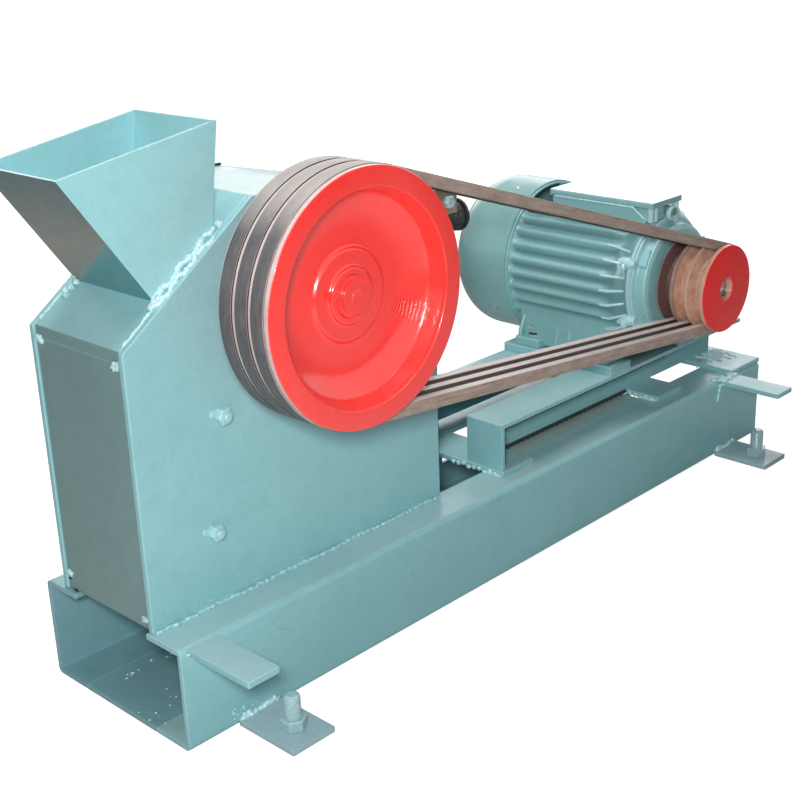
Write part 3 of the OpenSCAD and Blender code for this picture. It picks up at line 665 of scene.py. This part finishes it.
def make_wheel():
    """The wheel: its rim, the dished disc and the hub, in one casting."""
    disc, back = FACE + 27, FACE + 43
    profile = grooved(WHEEL_R) + [
        (93, RIM_BACK, 1.5), (91.5, back, 7), (30, back, 5), (24, RIM_BACK + 5, 1.5), (18, RIM_BACK + 5),
        (18, disc - 4.5), (19, disc - 6, 0.3), (24, disc - 6, 1.6), (25.5, disc - 2.6, 2.4),
        (39, disc - 3, 1.5), (41.5, disc, 1.8),
    ]
    profile += [(58 + 28 * t, disc - 9.5 * t * t) for t in shares(12)]
    profile += [(87.4, disc - 11, 0.8), (92.6, FACE + 3, 1.5), (93.2, FACE, 1.1)]
    shape = Shape()
    shape.turned(SHAFT_AXIS, Y, profile, 200, loop=True)
    build("wheel_casting", shape, RED, 38, body="wheel", stands_for="drive_wheel")


def make_hub_details():
    """Key in the hub's keyway and a boss on the shaft's end."""
    front = low("crusher_shaft").y
    shape = Shape()
    shape.block((SHAFT.x - 25.5, front + 2.5, SHAFT.z + 1), (SHAFT.x - 12.5, FACE + 24, SHAFT.z + 9))
    build("hub_key", shape, RED, bevel=0.7, body="wheel")
    shape = Shape()
    boss = [(0, -0.6), (4.2, -0.6, 0.5), (6.0, -1.0, 0.5), (6.6, 0.4), (0, 0.4)]
    shape.turned(SHAFT_AXIS + Y * front, Y, boss, 32)
    build("shaft_end_boss", shape, RED, body="wheel")


def make_pulley():
    """The motor's pulley, and the tip of its shaft with the key."""
    profile = grooved(PULLEY_R) + [(12.2, RIM_BACK), (12.2, FACE + 1.2), (13.4, FACE)]
    shape = Shape()
    shape.turned(MOTOR_AXIS, Y, profile, 128, loop=True)
    build("pulley_casting", shape, PULLEY_RED, 38, body="rotor", stands_for="motor_pulley")
    shape = Shape()
    front = low("motor_shaft").y
    tip = [(0, 0.9), (2.2, 0.9, 0.4), (4.0, -0.4, 0.4), (10.2, -0.4, 0.8), (11.4, 1.2), (0, 1.2)]
    shape.turned(MOTOR_AXIS + Y * front, Y, tip, 40)
    shape.block((MOTOR.x + 4, front - 3.2, MOTOR.z - 10.5), (MOTOR.x + 8, front - 0.2, MOTOR.z - 6.5))
    build("motor_shaft_tip", shape, STEEL, 35, body="rotor")


def belt_path():
    """Points and outward directions round both pulleys, at the lands' radii."""
    run = MOTOR_AXIS - SHAFT_AXIS
    lean = atan2(run.z, run.x)
    wrap = acos((WHEEL_R - PULLEY_R) / run.length)

    def arc(centre, radius, start, end, count):
        angles = [start + (end - start) * t for t in shares(count)]
        outs = [Vector((cos(angle), 0, sin(angle))) for angle in angles]
        return [(centre + out * radius, out) for out in outs]

    def straight(start, end):
        return [(start[0].lerp(end[0], t), start[1]) for t in shares(24)[1:-1]]

    wheel = arc(SHAFT_AXIS, WHEEL_R, lean + wrap, lean + TURN - wrap, 120)
    pulley = arc(MOTOR_AXIS, PULLEY_R, lean - wrap, lean + wrap, 44)
    return wheel + straight(wheel[-1], pulley[0]) + pulley + straight(pulley[-1], wheel[0])


def make_belt(number, middle_y):
    """One belt, with a UV map along and round it for its fabric."""
    half_top, half_foot, proud, depth = 7.99, 4.43, 1.0, 10.0
    top = [(proud, -half_top, 0.9), (proud, half_top, 0.9)]
    section = rounded(top + [(-depth, half_foot, 0.9), (-depth, -half_foot, 0.9)], loop=True, steps=2)
    path = belt_path()
    shape = Shape()
    rows = [[point + out * d + Y * (middle_y + c) for d, c in section] for point, out in path]
    shape.sheet(rows, loop=True)
    belt = f"belt_{number}"
    mesh = build(f"vee_{belt}", shape, BELT_BACK, 50, stands_for=belt).data
    mesh.materials.append(BELT_SIDE)
    widths, lengths = [0.0], [0.0]
    for (a, b), (c, d) in zip(section, section[1:] + section[:1]):
        widths.append(widths[-1] + hypot(c - a, d - b) * MM)
    for (a, _), (b, _) in zip(path, path[1:] + path[:1]):
        lengths.append(lengths[-1] + (b - a).length * MM)
    layer = mesh.uv_layers.new(name="run")
    columns = len(section)
    for face in mesh.polygons:
        i, j = divmod(face.index, columns)
        on_back = min(section[j][0], section[(j + 1) % columns][0]) > proud - 0.3
        face.material_index = 0 if on_back else 1
        for corner in face.loop_indices:
            row, column = divmod(mesh.loops[corner].vertex_index, columns)
            u = lengths[i if row == i else i + 1]
            v = widths[j if column == j else j + 1]
            layer.data[corner].uv = (u + number * 3.7, v)


# -------- motor

FIN_STEP = radians(11.25)
FRAME_NEAR, FRAME_FAR = high("end_shield").y, low("fan_cover").y
BOX_ANGLE = atan2(MOTOR.x - middle("terminal_box").x, 74.0)


def off_top(angle):
    """Direction out of the motor's axis at an angle from its top, turning towards the crusher."""
    return Vector((-sin(angle), 0, cos(angle)))


def fin_radius(angle, y):
    """Radius of the finned frame at an angle from the top, and a distance along the motor."""
    core, crest, neck, end_r = 83.0, 88.5, 54.0, 75.0
    near, far = y - FRAME_NEAR, FRAME_FAR - y
    core = end_r + (core - end_r) * clamp((near - 1) / 10)
    reach = clamp((near - 10) / 18)
    wave = 0.5 + 0.5 * cos(TURN * (angle / FIN_STEP))
    off_box = abs(remainder(angle - BOX_ANGLE, TURN)) - radians(22)
    under_box = clamp(off_box / radians(3))
    radius = neck + (core - neck) * under_box + (crest - core) * wave * reach * under_box
    collar = clamp(1.2 - far / 6.0) * under_box
    return radius + (crest + 1.5 - radius) * collar


def make_motor_frame():
    """The finned frame, whose fins start behind the end shield and end in a collar at the fan cover."""
    stations = [FRAME_NEAR, FRAME_NEAR + 1, FRAME_NEAR + 6]
    stations += [FRAME_NEAR + 10 + 18 * t for t in shares(8)]
    stations += [FRAME_NEAR + 28 + (FRAME_FAR - FRAME_NEAR - 36) * t for t in shares(10)[1:]]
    stations += [FRAME_FAR + d for d in (-6, -5, -4, -3, -2, -1, 0, 2)]
    shape = Shape()
    shape.closed_tube([
        [MOTOR_AXIS + Y * y + off_top(angle) * fin_radius(angle, y) for angle in turns(576)]
        for y in stations
    ])
    build("motor_casing", shape, CASING_PAINT, 60, stands_for="motor_frame")


def make_fin_ends():
    """Thin sloping ridges where the fins run out towards the end shield."""
    shape = Shape()
    for i in range(5, 30):
        out = off_top(i * FIN_STEP)
        side = Y.cross(out)
        outline = [(74, 2), (78, 2.5), (89.6, 17), (90.4, 27), (84, 33), (74, 20)]
        ridge = [MOTOR_AXIS + out * r + Y * (FRAME_NEAR + y) - side * 1.4 for r, y in outline]
        shape.slab(ridge, side * 2.8)
    # Pale paint on the ridges: a painted highlight where the fins run out.
    build("fin_ends", shape, PALE_HIGHLIGHT_PAINT, bevel=0.7)


def make_shield():
    """Drive end shield, its bolts into the frame, the rings round it and a cast pad on its barrel."""
    y = FRAME_NEAR
    profile = [
        (0, y - 19), (59, y - 19, 1.5), (63, y - 17.5, 1.2), (64.6, y - 15, 1.5), (66, y - 7, 1.5),
        (69, y - 4.5, 1.2), (72.5, y - 3.4, 1.2), (74, y - 1.5, 1), (75.5, y + 0.6), (0, y + 0.6),
    ]
    shape = Shape()
    shape.turned(MOTOR_AXIS, Y, profile, 160)
    build("shield_casting", shape, SHIELD_LIT_PAINT, 38, stands_for="end_shield")
    shape = Shape()
    for angle in (66, 118, 242, 294):
        hub = MOTOR_AXIS + off_top(radians(angle)) * 76
        shape.turned(hub, Y, [(0, y - 3), (6.5, y - 3, 2), (7.5, y + 14, 2), (0, y + 14)], 20)
        shape.turned(hub, Y, [(0, y - 8.5), (5.6, y - 8.5, 1), (5.9, y - 3), (0, y - 3)], 6)
        shape.lump(hub + Vector((-9, y + 2, -3)), (4.2, 3.4, 4.6), angle, 0.6)
    build("shield_bolts", shape, PALE_HIGHLIGHT_PAINT, 35)
    shape = Shape()
    for r, along in ((74.4, y - 1.4), (72.2, y - 4.2), (64.2, y - 16.4)):
        inner, outer = r - 2, r + 0.6
        ring = [(inner, along - 1.3), (outer, along - 1, 1), (outer, along + 1, 1), (inner, along + 1.3)]
        shape.turned(MOTOR_AXIS, Y, ring, 160, loop=True)
    # Pale rings: painted highlight lines round the shield.
    build("shield_rings", shape, PALE_HIGHLIGHT_PAINT, 60)
    shape = Shape()
    out = off_top(radians(57))
    plate = ((-11, -16.5), (-11, -5), (9, -4), (11, -15))
    shape.slab([MOTOR_AXIS + out * 62 + Y.cross(out) * a + Y * (y + b) for a, b in plate], out * 5.6)
    build("shield_pad", shape, SHIELD_LIT_PAINT, 35, 1.6)


def make_cover_details():
    """Seam of the fan cover and its screws."""
    seam = low("fan_cover").y
    shape = Shape()
    band = [(90, seam - 2.5), (91.6, seam - 2.5, 0.6), (92.6, seam + 0.2, 0.8), (91.0, seam + 1.6)]
    shape.turned(MOTOR_AXIS, Y, band, 160, loop=True, steps=2)
    build("cover_seam", shape, MOTOR_PAINT, 60)
    shape = Shape()
    for angle in (125, -55, 20, -160):
        out = off_top(radians(angle))
        head = [(0, -1.5), (3.6, -1.5), (3.6, 0.6, 0.6), (2.2, 1.8, 0.8), (0, 2.0)]
        shape.turned(MOTOR_AXIS + Y * (seam + 28) + out * 93.4, out, head, 16)
    build("cover_screws", shape, STEEL, 50)


def make_motor_feet():
    """Cast feet along both sides of the motor, with their ribs."""
    shape = Shape()
    foot, top = FOOT_Z + 1, FOOT_Z + 44
    for way in (-1, 1):
        for y in (48.0, 148.0):
            ends = sorted((MOTOR.x + way * 87, MOTOR.x + way * 52))
            shape.block((ends[0], y - 18, FOOT_Z), (ends[1], y + 18, FOOT_TOP))
        wall = MOTOR.x + way * 74
        shape.slab([(wall, 38, foot), (wall, 168, foot), (wall, 168, top), (wall, 38, top)], X * -way * 8)
        for y, width in ((34.0, 11), (92.0, 5), (110.0, 5), (160.0, 11)):
            root, toe = wall - way * 2, wall + way * width
            rib = [(root, y, foot), (toe, y, foot), (toe - way * 3, y, FOOT_Z + 18), (root, y, FOOT_Z + 40)]
            shape.slab(rib, Y * 5)
    build("motor_feet", shape, MOTOR_PAINT, 35, 1.6)


def make_foot_bolts():
    """Bolts through the motor's feet, bars and rails, with black spring washers."""
    heads, washers = Shape(), Shape()
    for x in (664.0, 804.0):
        for y in (48.0, 148.5):
            top = Vector((x, y, FOOT_TOP))
            heads.turned(top, Z, [(0, 0), (9, 0), (9, 1.8, 0.4), (0, 1.8)], 24)
            heads.turned(top, Z, [(0, 4.4), (8.8, 4.4), (9.4, 5.2), (9.4, 10.2), (8.4, 11.2), (0, 11.2)], 6)
            heads.turned(top, Z, [(0, 11), (4.8, 11), (4.8, 15, 1), (0, 15)], 16)
            coil = [Vector((6 * cos(t), 6 * sin(t), 2.4 + t / TURN)) for t in turns(24)]
            washers.bead([top + p for p in coil], 1.6, 1.0, step=1.0, lumpy=0.0, taper=1.0, **PLAIN)
    build("foot_bolts", heads, STUD_PAINT, 30)
    build("spring_washers", washers, BLACK_AND_SHADOW_PAINT, 60)


def make_terminal_box():
    """Shoulder and nose under the terminal box's lid, its corner posts and gland ring."""
    a, b = low("terminal_box"), high("terminal_box")
    lid, wall = b.z - 7, a.x - 0.6
    outline = [(b.y - 6, a.z), (b.y - 6, lid - 0.6), (26, lid - 0.6), (9, lid - 13), (9, a.z + 6), (26, a.z)]
    shape = Shape()
    shape.slab([(wall, y, z) for y, z in outline], X * 3.4)
    shape.block((a.x + 1.5, a.y + 2, lid - 15), (b.x - 34, 18, lid + 1))
    build("box_shoulder", shape, MOTOR_PAINT, 35, 0.9)
    shape = Shape()
    for x in (a.x + 2.5, a.x + 11, b.x - 8):
        post = [(0, 0), (3.4, 0, 0.6), (3.4, 15.5), (0, 15.5)]
        shape.turned((x, a.y + 3.5, lid - 15.5), Z, post, 20)
    # A pale bead along the shoulder's edge under the lid: a painted highlight line.
    edge = [(wall, b.y - 8, lid - 0.2), (wall, 26, lid - 0.2), (wall, 8.5, lid - 12.8)]
    shape.bead(edge, 1.0, 7.0, step=1.2, lumpy=0.15, ripple=9.0, sway=0.1)
    build("box_posts", shape, PALE_HIGHLIGHT_PAINT)
    gland, front = middle("cable_gland"), low("cable_gland").y
    shape = Shape()
    ring = [(4.4, -1.6, 1), (8.2, -1.6, 1), (8.2, 3.4, 1), (4.4, 3.4, 1)]
    shape.turned((gland.x, front + 3, gland.z - 2.5), Y, ring, 32, loop=True)
    shape.block((gland.x + 9, front + 4, gland.z - 14), (gland.x + 15, 14, gland.z + 2))
    build("gland_ring", shape, PALE_HIGHLIGHT_PAINT, 50, 0.6)


# -------- fasteners of base and body


def make_side_nuts():
    """Nuts on bolts through both side plates, where the crusher's linings are held."""
    shape = Shape()
    for x, z in ((97.0, 274.5), (78.5, 170.0)):
        for y, out in ((BODY_NEAR, -Y), (BODY_FAR, Y)):
            place = Vector((x, y, z))
            nut = [(0, -0.5), (8.8, -0.5), (8.8, 6.0, 1.4), (7.0, 7.4, 1.0), (0, 7.4)]
            shape.turned(place, out, nut, 6, steps=2)
            shape.turned(place, out, [(0, 7), (4.4, 7), (4.4, 10.4, 1.6), (0, 11.2)], 18)
            shape.lump(place + Vector((-9.5, 0, 2.5)), (4.6, 2.4, 3.6), x, 0.6)
    build("side_nuts", shape, SEAM_HIGHLIGHT_PAINT, 28)


def make_stud(number):
    """An anchor stud with its thread, and the nut on its tab."""
    node = f"anchor_stud_{number}"
    centre = middle(node)
    centre.z = 0
    radius, height, tab = 8.0, high(node).z, 6.0
    thread = [(0, 0), (radius - 0.6, 0)]
    z = 1.0
    while z < height - 3:
        thread += [(radius, z, 0.3), (radius - 0.75, z + 1.1, 0.3)]
        z += 2.2
    thread += [(radius - 0.6, height - 1.6, 0.8), (radius - 2.6, height, 0.8), (0, height)]
    shape = Shape()
    shape.turned(centre, Z, thread, 28, steps=2)
    bore = radius - 0.2
    nut = [(bore, 0), (11.8, 0), (12.7, 1), (12.7, 9.6), (11.4, 11), (bore, 11)]
    shape.turned(centre + Z * tab, Z, nut, 6, loop=True)
    build(f"stud_and_nut_{number}", shape, STUD_PAINT, 30, stands_for=node)


# -------- welds, tacks and spatter


def slope_z(x):
    """Height of the sloping feed end at x."""
    return FRONT_TOP + (x - PLATE_FRONT) * (BODY_TOP - FRONT_TOP) / (RIDGE_X - PLATE_FRONT)


def make_hopper_welds():
    """Two wavy beads on the hopper's near foot, one on each other side, and the tacks at its corners."""
    near, far = low("hopper").y, high("hopper").y
    foot, top = 48.0, 113.0
    shape = Shape()
    for k, (y, lift) in enumerate(((near - 1.2, 2.6), (near - 6.5, 0.8))):
        stops = (foot - 2 - 4 * k, (foot + top) / 2, top + 2 - 5 * k)
        strand = []
        for i, here in enumerate(even_path([Vector((x, y, slope_z(x) + lift)) for x in stops], 1.5)):
            wave = sin(i * 0.31 + 1.4 * k) + 0.6 * sin(i * 0.83 + k)
            strand.append(here + Vector((0, 1.3 * wave, 0.8 * wave)))
        shape.bead(strand, 2.7 - 0.4 * k, 5.0 + k, lumpy=0.45, ripple=5.0, sway=0.35)
    shape.bead([(foot, far + 2, slope_z(foot) + 1), (top, far + 2, slope_z(top) + 1)], 3.4, 9.0)
    shape.bead([(top + 1.5, near + 4, slope_z(top) + 2), (top + 1.5, far - 4, slope_z(top) + 2)], 2.4, 11.0)
    far_tacks = ((40, 163, 1.5), (44, 160, 2.5), (36, 166, 1), (47, 165, 4), (33, 161, 0.5))
    shape.lumps([(x, y, slope_z(x) + z) for x, y, z in far_tacks], (3.6, 3.4, 2.8), 20)
    near_tacks = ((46, 50.5), (42, 49.5), (50, 49), (118, 49))
    shape.lumps([(x, y, slope_z(x) + 1.5) for x, y in near_tacks], (3.8, 3.4, 3.4), 30)
    build("hopper_welds", shape, PALE_HIGHLIGHT_PAINT, 70)


def make_body_welds():
    """Beads and tacks of the crusher body, and the seams along its side plates' feet."""
    front, end = low("front_plate").x, high("near_side_plate").x
    shape, seam, dark = Shape(), Shape(), Shape()
    for side, y in ((-1, BODY_NEAR), (1, BODY_FAR)):
        foot, z = y + side * 1.4, BASE_TOP + 0.8
        path = [(PLATE_FRONT + 2 + i * 24, foot + side * 1.3 * sin(i * 1.7), z) for i in range(15)]
        path.append((end - 2, foot, z))
        seam.bead(path, 2.0, 40 + side, lumpy=0.6, ripple=7.0, sway=0.8)
    tacks = ((52.5, 343), (55.5, 340.5), (166, 345), (166, 117), (51.5, 110.5), (164, 342))
    shape.lumps([(front - 0.5, y, z) for y, z in tacks], (2.6, 4.2, 3.4), 50, 0.7)
    for side, y in ((-1, BODY_NEAR + 7.6), (1, BODY_FAR - 7.6)):
        path = [(x, y, slope_z(x) - 0.6) for x in (9, 43)]
        shape.bead(path, 1.7, 60 + side, lumpy=0.5, ripple=4.0, sway=0.6)
    a, b = low("rear_bracket"), high("rear_bracket")
    shape.bead([(a.x + 1, BODY_NEAR - 0.4, z) for z in (a.z, b.z)], 2.2, 66)
    build("body_welds", shape, PALE_HIGHLIGHT_PAINT, 70)
    build("body_seams", seam, SEAM_HIGHLIGHT_PAINT, 70)
    dark.lump((front, 167.5, 111), (1.2, 1.7, 1.6), 71, 0.5)
    dark.lump((front, 160, 101.5), (1.4, 3.0, 1.3), 72, 0.5)
    build("dark_tacks", dark, BLACK_AND_SHADOW_PAINT, 70)


def make_base_welds():
    """Beads and tacks under the guard brackets, over the anchor tabs and along the cross bars."""
    shape = Shape()
    for k, node in enumerate(("guard_bracket_front", "guard_bracket_rear")):
        a, b = low(node), high(node)
        shape.bead([(a.x + 2, -0.8, a.z - 0.6), (b.x - 2, -0.8, a.z - 0.6)], 2.4, 80 + k)
        shape.bead([(a.x - 0.6, -0.6, a.z + 1), (a.x - 0.4, -5.0, a.z + 3)], 1.8, 82 + k)
    rear = high("guard_bracket_rear").z + 0.6
    tacks = ((850, 2), (855, -3), (861, 4), (868, -2), (875, 3), (846, 7), (881, -1))
    shape.lumps([(x, y, rear) for x, y in tacks], (5.2, 4.6, 2.6), 90)
    for k, z in enumerate((94, 88, 82, 77)):
        shape.lump((848 - k * 1.6, -1.0, z), (2.6 - 0.4 * k, 1.6, 3.6), 100 + k, 0.4)
    for k in range(1, 5):
        a, b = low(f"anchor_tab_{k}"), high(f"anchor_tab_{k}")
        side, y = (-1, -0.8) if b.y < 1 else (1, BASE_FAR + 0.8)
        path = [(a.x + 1, y, b.z + 0.6), (b.x - 1, y, b.z + 0.6)]
        shape.bead(path, 2.6, 110 + k, lumpy=0.5, ripple=5.0, sway=0.8)
        tacks = [(x, y + side * 0.4, b.z + 3) for x in (a.x + 6, a.x + 11, b.x - 8)]
        shape.lumps(tacks, (2.8, 1.8, 2.8), 120 + 3 * k)
    for node in ("cross_bar_front", "cross_bar_rear"):
        a = low(node)
        shape.bead([(a.x - 0.4, a.y + 3, a.z + 1), (a.x - 0.4, 50, a.z + 1)], 1.8, 130)
        tacks = [(a.x - 0.8, 30 + 7.5 * k, a.z + 2 + 1.5 * sin(k * 2.3)) for k in range(9)]
        shape.lumps(tacks, (1.9, 3.0, 2.4), 140, 0.7)
    build("base_welds", shape, PALE_HIGHLIGHT_PAINT, 70)


def make_spatter():
    """Weld spatter left under the paint, thickest beside the welds, and runs of paint on the rear deck."""
    chance = random.Random(11)
    gauss, uniform = chance.gauss, chance.uniform
    shape = Shape()

    def scatter(count, size, flat, place):
        for _ in range(count):
            radius = size * uniform(0.45, 1.0)
            shape.lump(place(), [radius * k for k in flat], uniform(0, 9), 0.4)

    floor_top, deck_top, near = high("floor_plate").z, high("rear_deck").z, BODY_NEAR
    scatter(34, 1.5, (1.4, 1, 0.7), lambda: (uniform(4, 150), 137 + gauss(0, 3.0), floor_top))
    scatter(16, 1.3, (1, 1, 0.7), lambda: (uniform(2, 60), gauss(60, 9), floor_top))
    scatter(22, 1.4, (1, 0.8, 1.2), lambda: (uniform(2, 9), gauss(5.5, 0.5), uniform(8, 92)))
    scatter(26, 0.8, (1, 0.7, 1), lambda: (uniform(6, 365), near - 0.2, BASE_TOP + abs(gauss(0, 7))))
    scatter(20, 0.7, (1, 0.6, 1), lambda: (uniform(40, 120), near + 0.2, slope_z(60) - abs(gauss(4, 12))))
    scatter(60, 1.1, (1.8, 1.0, 0.6), lambda: (gauss(908, 14), gauss(60, 28), deck_top))
    scatter(18, 1.0, (1, 0.7, 1), lambda: (gauss(60, 12), -0.1, gauss(14, 5)))
    build("spatter", shape, PALE_HIGHLIGHT_PAINT, 70)
    shape = Shape()
    for k in range(11):
        x, rise = 890 + 4.2 * k, 12 * sin(k * 1.9)
        run = [(x, 36 + rise, 106.3), (x + 6, 52 - rise, 106.3), (x + 3, 66 + rise * 0.7, 106.3)]
        shape.bead(run, 0.75, 150 + k, step=1.2, lumpy=0.6)
    build("deck_runs", shape, PALE_HIGHLIGHT_PAINT, 70)


def make_scratch():
    """Crescent run of thick paint on the near web."""
    shape = Shape()
    path = [(99 + 24 * t, -0.15, 88 - 19 * t - 5 * sin(pi * t)) for t in shares(12)]
    shape.bead(path, 0.6, 160, step=1.0, lumpy=0.5, ripple=8.0, sway=0.6)
    build("web_scratch", shape, MOTOR_PAINT, 70)


def make_painted_shade_and_sill():
    """Painted shade: dark lines under the near rail's foot and flange and behind the side plate, a pale
    strip below that foot as painted light for the lit inside of the base, and a painted shadow along the
    roof's far edge."""
    web, under = high("near_rail").y - 5, high("near_rail").z - 5.6
    near, start = low("near_rail").y + 1.6, 454.6
    shape = Shape()
    foot = [(507, web + 1.5, BASE_TOP + 3.4), (748, web + 1.5, BASE_TOP + 3.4)]
    shape.bead(foot, 2.9, 161, step=2.0, lumpy=0.06, taper=1.5, **PLAIN)
    line = ((start, BASE_TOP + 12), (start, under - 2.4), (458, under), (760, under))
    shape.bead([(x, near, z) for x, z in line], 1.1, 162, step=2.0, lumpy=0.1, taper=2.0, **PLAIN)
    edge = [(high("near_side_plate").x + 0.2, BODY_NEAR + 1.4, z) for z in (BASE_TOP + 3, 300)]
    shape.bead(edge, 1.1, 163, step=2.0, lumpy=0.15, taper=2.0, **PLAIN)
    build("rail_slit_shadows", shape, BLACK_AND_SHADOW_PAINT, 60)
    # A pale strip below the rail's foot: painted light for the lit inside of the base.
    shape = Shape()
    shape.block((501, high("near_channel").y - 3, BASE_TOP - 5), (739, web + 16, BASE_TOP - 0.7))
    build("rail_lit_sill", shape, SILL_LIT_PAINT, 60, 0.8)
    shape = Shape()
    y, z = high("top_plate").y + 1.5, BODY_TOP + 0.8
    shape.lumps([(RIDGE_X + 5 * k, y, z) for k in range(15)], (5.5, 2.4, 1.5), 180, 0.15)
    shape.lump((RIDGE_X - 2, y, z), (4.2, 3.6, 2.8), 166, 0.2)
    build("roof_edge_shadow", shape, BLACK_AND_SHADOW_PAINT, 60, 0.6)


def make_tension_spring():
    """Tension rod behind the crusher's top, with its spring between two washers, and the bracket's bolt."""
    shape = Shape()
    place = Vector((high("rear_bracket").x, 68.0, 383.0))
    shape.turned(place - X * 4, X, [(0, 0), (7, 0), (7, 42, 1), (0, 43)], 24)
    shape.turned(place, X, [(0, 0), (18, 0, 1), (18, 3, 1), (0, 3)], 40)
    shape.turned(place + X * 27, X, [(0, 0), (17, 0, 1), (17, 3, 1), (0, 3)], 40)
    shape.turned(place + X * 30, X, [(0, 0), (10, 0), (10, 6), (9, 7), (0, 7)], 6)
    around = [6 * TURN * t for t in shares(144)]
    coil = [Vector((5 + 20 * t / around[-1], 13.5 * cos(t), 13.5 * sin(t))) for t in around]
    shape.bead([place + p for p in coil], 2.2, 170, step=2.4, lumpy=0.0, taper=2.0, **PLAIN)
    build("tension_spring", shape, SPRING_PAINT)
    shape = Shape()
    corner = high("rear_bracket")
    bolt = [(0, -1), (6.4, -1), (6.4, 4.4), (5.4, 5.4), (0, 5.4)]
    shape.turned((corner.x - 14, BODY_NEAR, corner.z - 14), -Y, bolt, 6)
    build("bracket_bolt", shape, PALE_HIGHLIGHT_PAINT, 30)


make_wheel()
make_hub_details()
make_pulley()
for number, middle_y in enumerate(GROOVES, 1):
    make_belt(number, middle_y)
make_motor_frame()
make_fin_ends()
make_shield()
make_cover_details()
make_motor_feet()
make_foot_bolts()
make_terminal_box()
make_side_nuts()
for number in range(1, 5):
    make_stud(number)
make_hopper_welds()
make_body_welds()
make_base_welds()
make_spatter()
make_scratch()
make_painted_shade_and_sill()
make_tension_spring()


# -------- stage, light and camera

WORLD_LEVEL = 0.06
CENTRE = (0.0, 0.0, 0.25)


def make_world():
    """White where a camera or mirror ray arrives, and dim for the light that falls on the object."""
    world = bpy.data.worlds.new("studio")
    bpy.context.scene.world = world
    world.use_nodes = True
    tree = world.node_tree
    path = tree.nodes.new("ShaderNodeLightPath")
    either = tree.nodes.new("ShaderNodeMath")
    either.operation = "MAXIMUM"
    tree.links.new(path.outputs["Is Camera Ray"], either.inputs[0])
    tree.links.new(path.outputs["Is Glossy Ray"], either.inputs[1])
    strength = tree.nodes.new("ShaderNodeMapRange")
    strength.inputs["To Min"].default_value = WORLD_LEVEL
    tree.links.new(either.outputs[0], strength.inputs["Value"])
    background = tree.nodes["Background"]
    background.inputs["Color"].default_value = (1.0, 1.0, 1.0, 1.0)
    tree.links.new(strength.outputs[0], background.inputs["Strength"])


def make_floor():
    """Pale floor that keeps the object's shadow, and fades to white further out for the camera."""
    size = 30.0
    corners = [(-size, -size, 0), (size, -size, 0), (size, size, 0), (-size, size, 0)]
    mesh = bpy.data.meshes.new("floor")
    mesh.from_pydata(corners, [], [(0, 1, 2, 3)])
    s = Surface("floor_white")
    s.set(Base_Color=(208, 208, 208), Roughness=0.9, Specular_IOR_Level=0.1)
    seen = s.add("ShaderNodeLightPath").outputs["Is Camera Ray"]
    glow = s.spread(s.vector("LENGTH", s.place)["Value"], 1.2, 3.0, 0.8, 1.0)
    s.set(Emission_Color=(255, 255, 255), Emission_Strength=s.times(seen, glow))
    mesh.materials.append(s.material)
    add_object("floor", mesh)


def make_lamp(name, place, size, power, height=None):
    """An area lamp that looks at the object: a disc, or a rectangle where it has a height."""
    light = bpy.data.lights.new(name, "AREA")
    light.shape = "RECTANGLE" if height else "DISK"
    light.size = size
    light.size_y = height or size
    light.energy = power
    lamp = add_object(name, light)
    lamp.location = place
    lamp.rotation_euler = (Vector(CENTRE) - Vector(place)).to_track_quat("-Z", "Y").to_euler()


def make_camera():
    """Camera at the photograph's place: heading is from +X towards +Y, pitch below the horizon."""
    place = spot(-577.3, -838.1, 696.5)
    heading, pitch, roll = radians(44.428), radians(20.555), radians(-2.122)
    level = Vector((sin(heading), -cos(heading), 0.0))
    ahead = Z.cross(level) * cos(pitch) - Z * sin(pitch)
    right = level * cos(roll) + level.cross(ahead) * sin(roll)
    axes = Matrix((right, right.cross(ahead), -ahead)).transposed()
    optics = bpy.data.cameras.new("camera")
    optics.sensor_width = 36.0
    optics.lens = 61.377
    optics.shift_x, optics.shift_y = -0.00259, -0.00375
    optics.clip_start, optics.clip_end = 0.01, 200.0
    camera = add_object("camera", optics)
    camera.matrix_world = Matrix.Translation(place) @ axes.to_4x4()
    bpy.context.scene.camera = camera


make_world()
make_floor()
make_camera()
make_lamp("flash", (-1.08, -0.93, 0.78), 0.16, 14.0)
make_lamp("overhead", (-0.1, 0.2, 2.3), 1.5, 28.0)
make_lamp("low_rear", (1.7, 1.75, 1.1), 2.6, 15.0, height=1.0)

bpy.context.scene.view_settings.view_transform = "Standard"
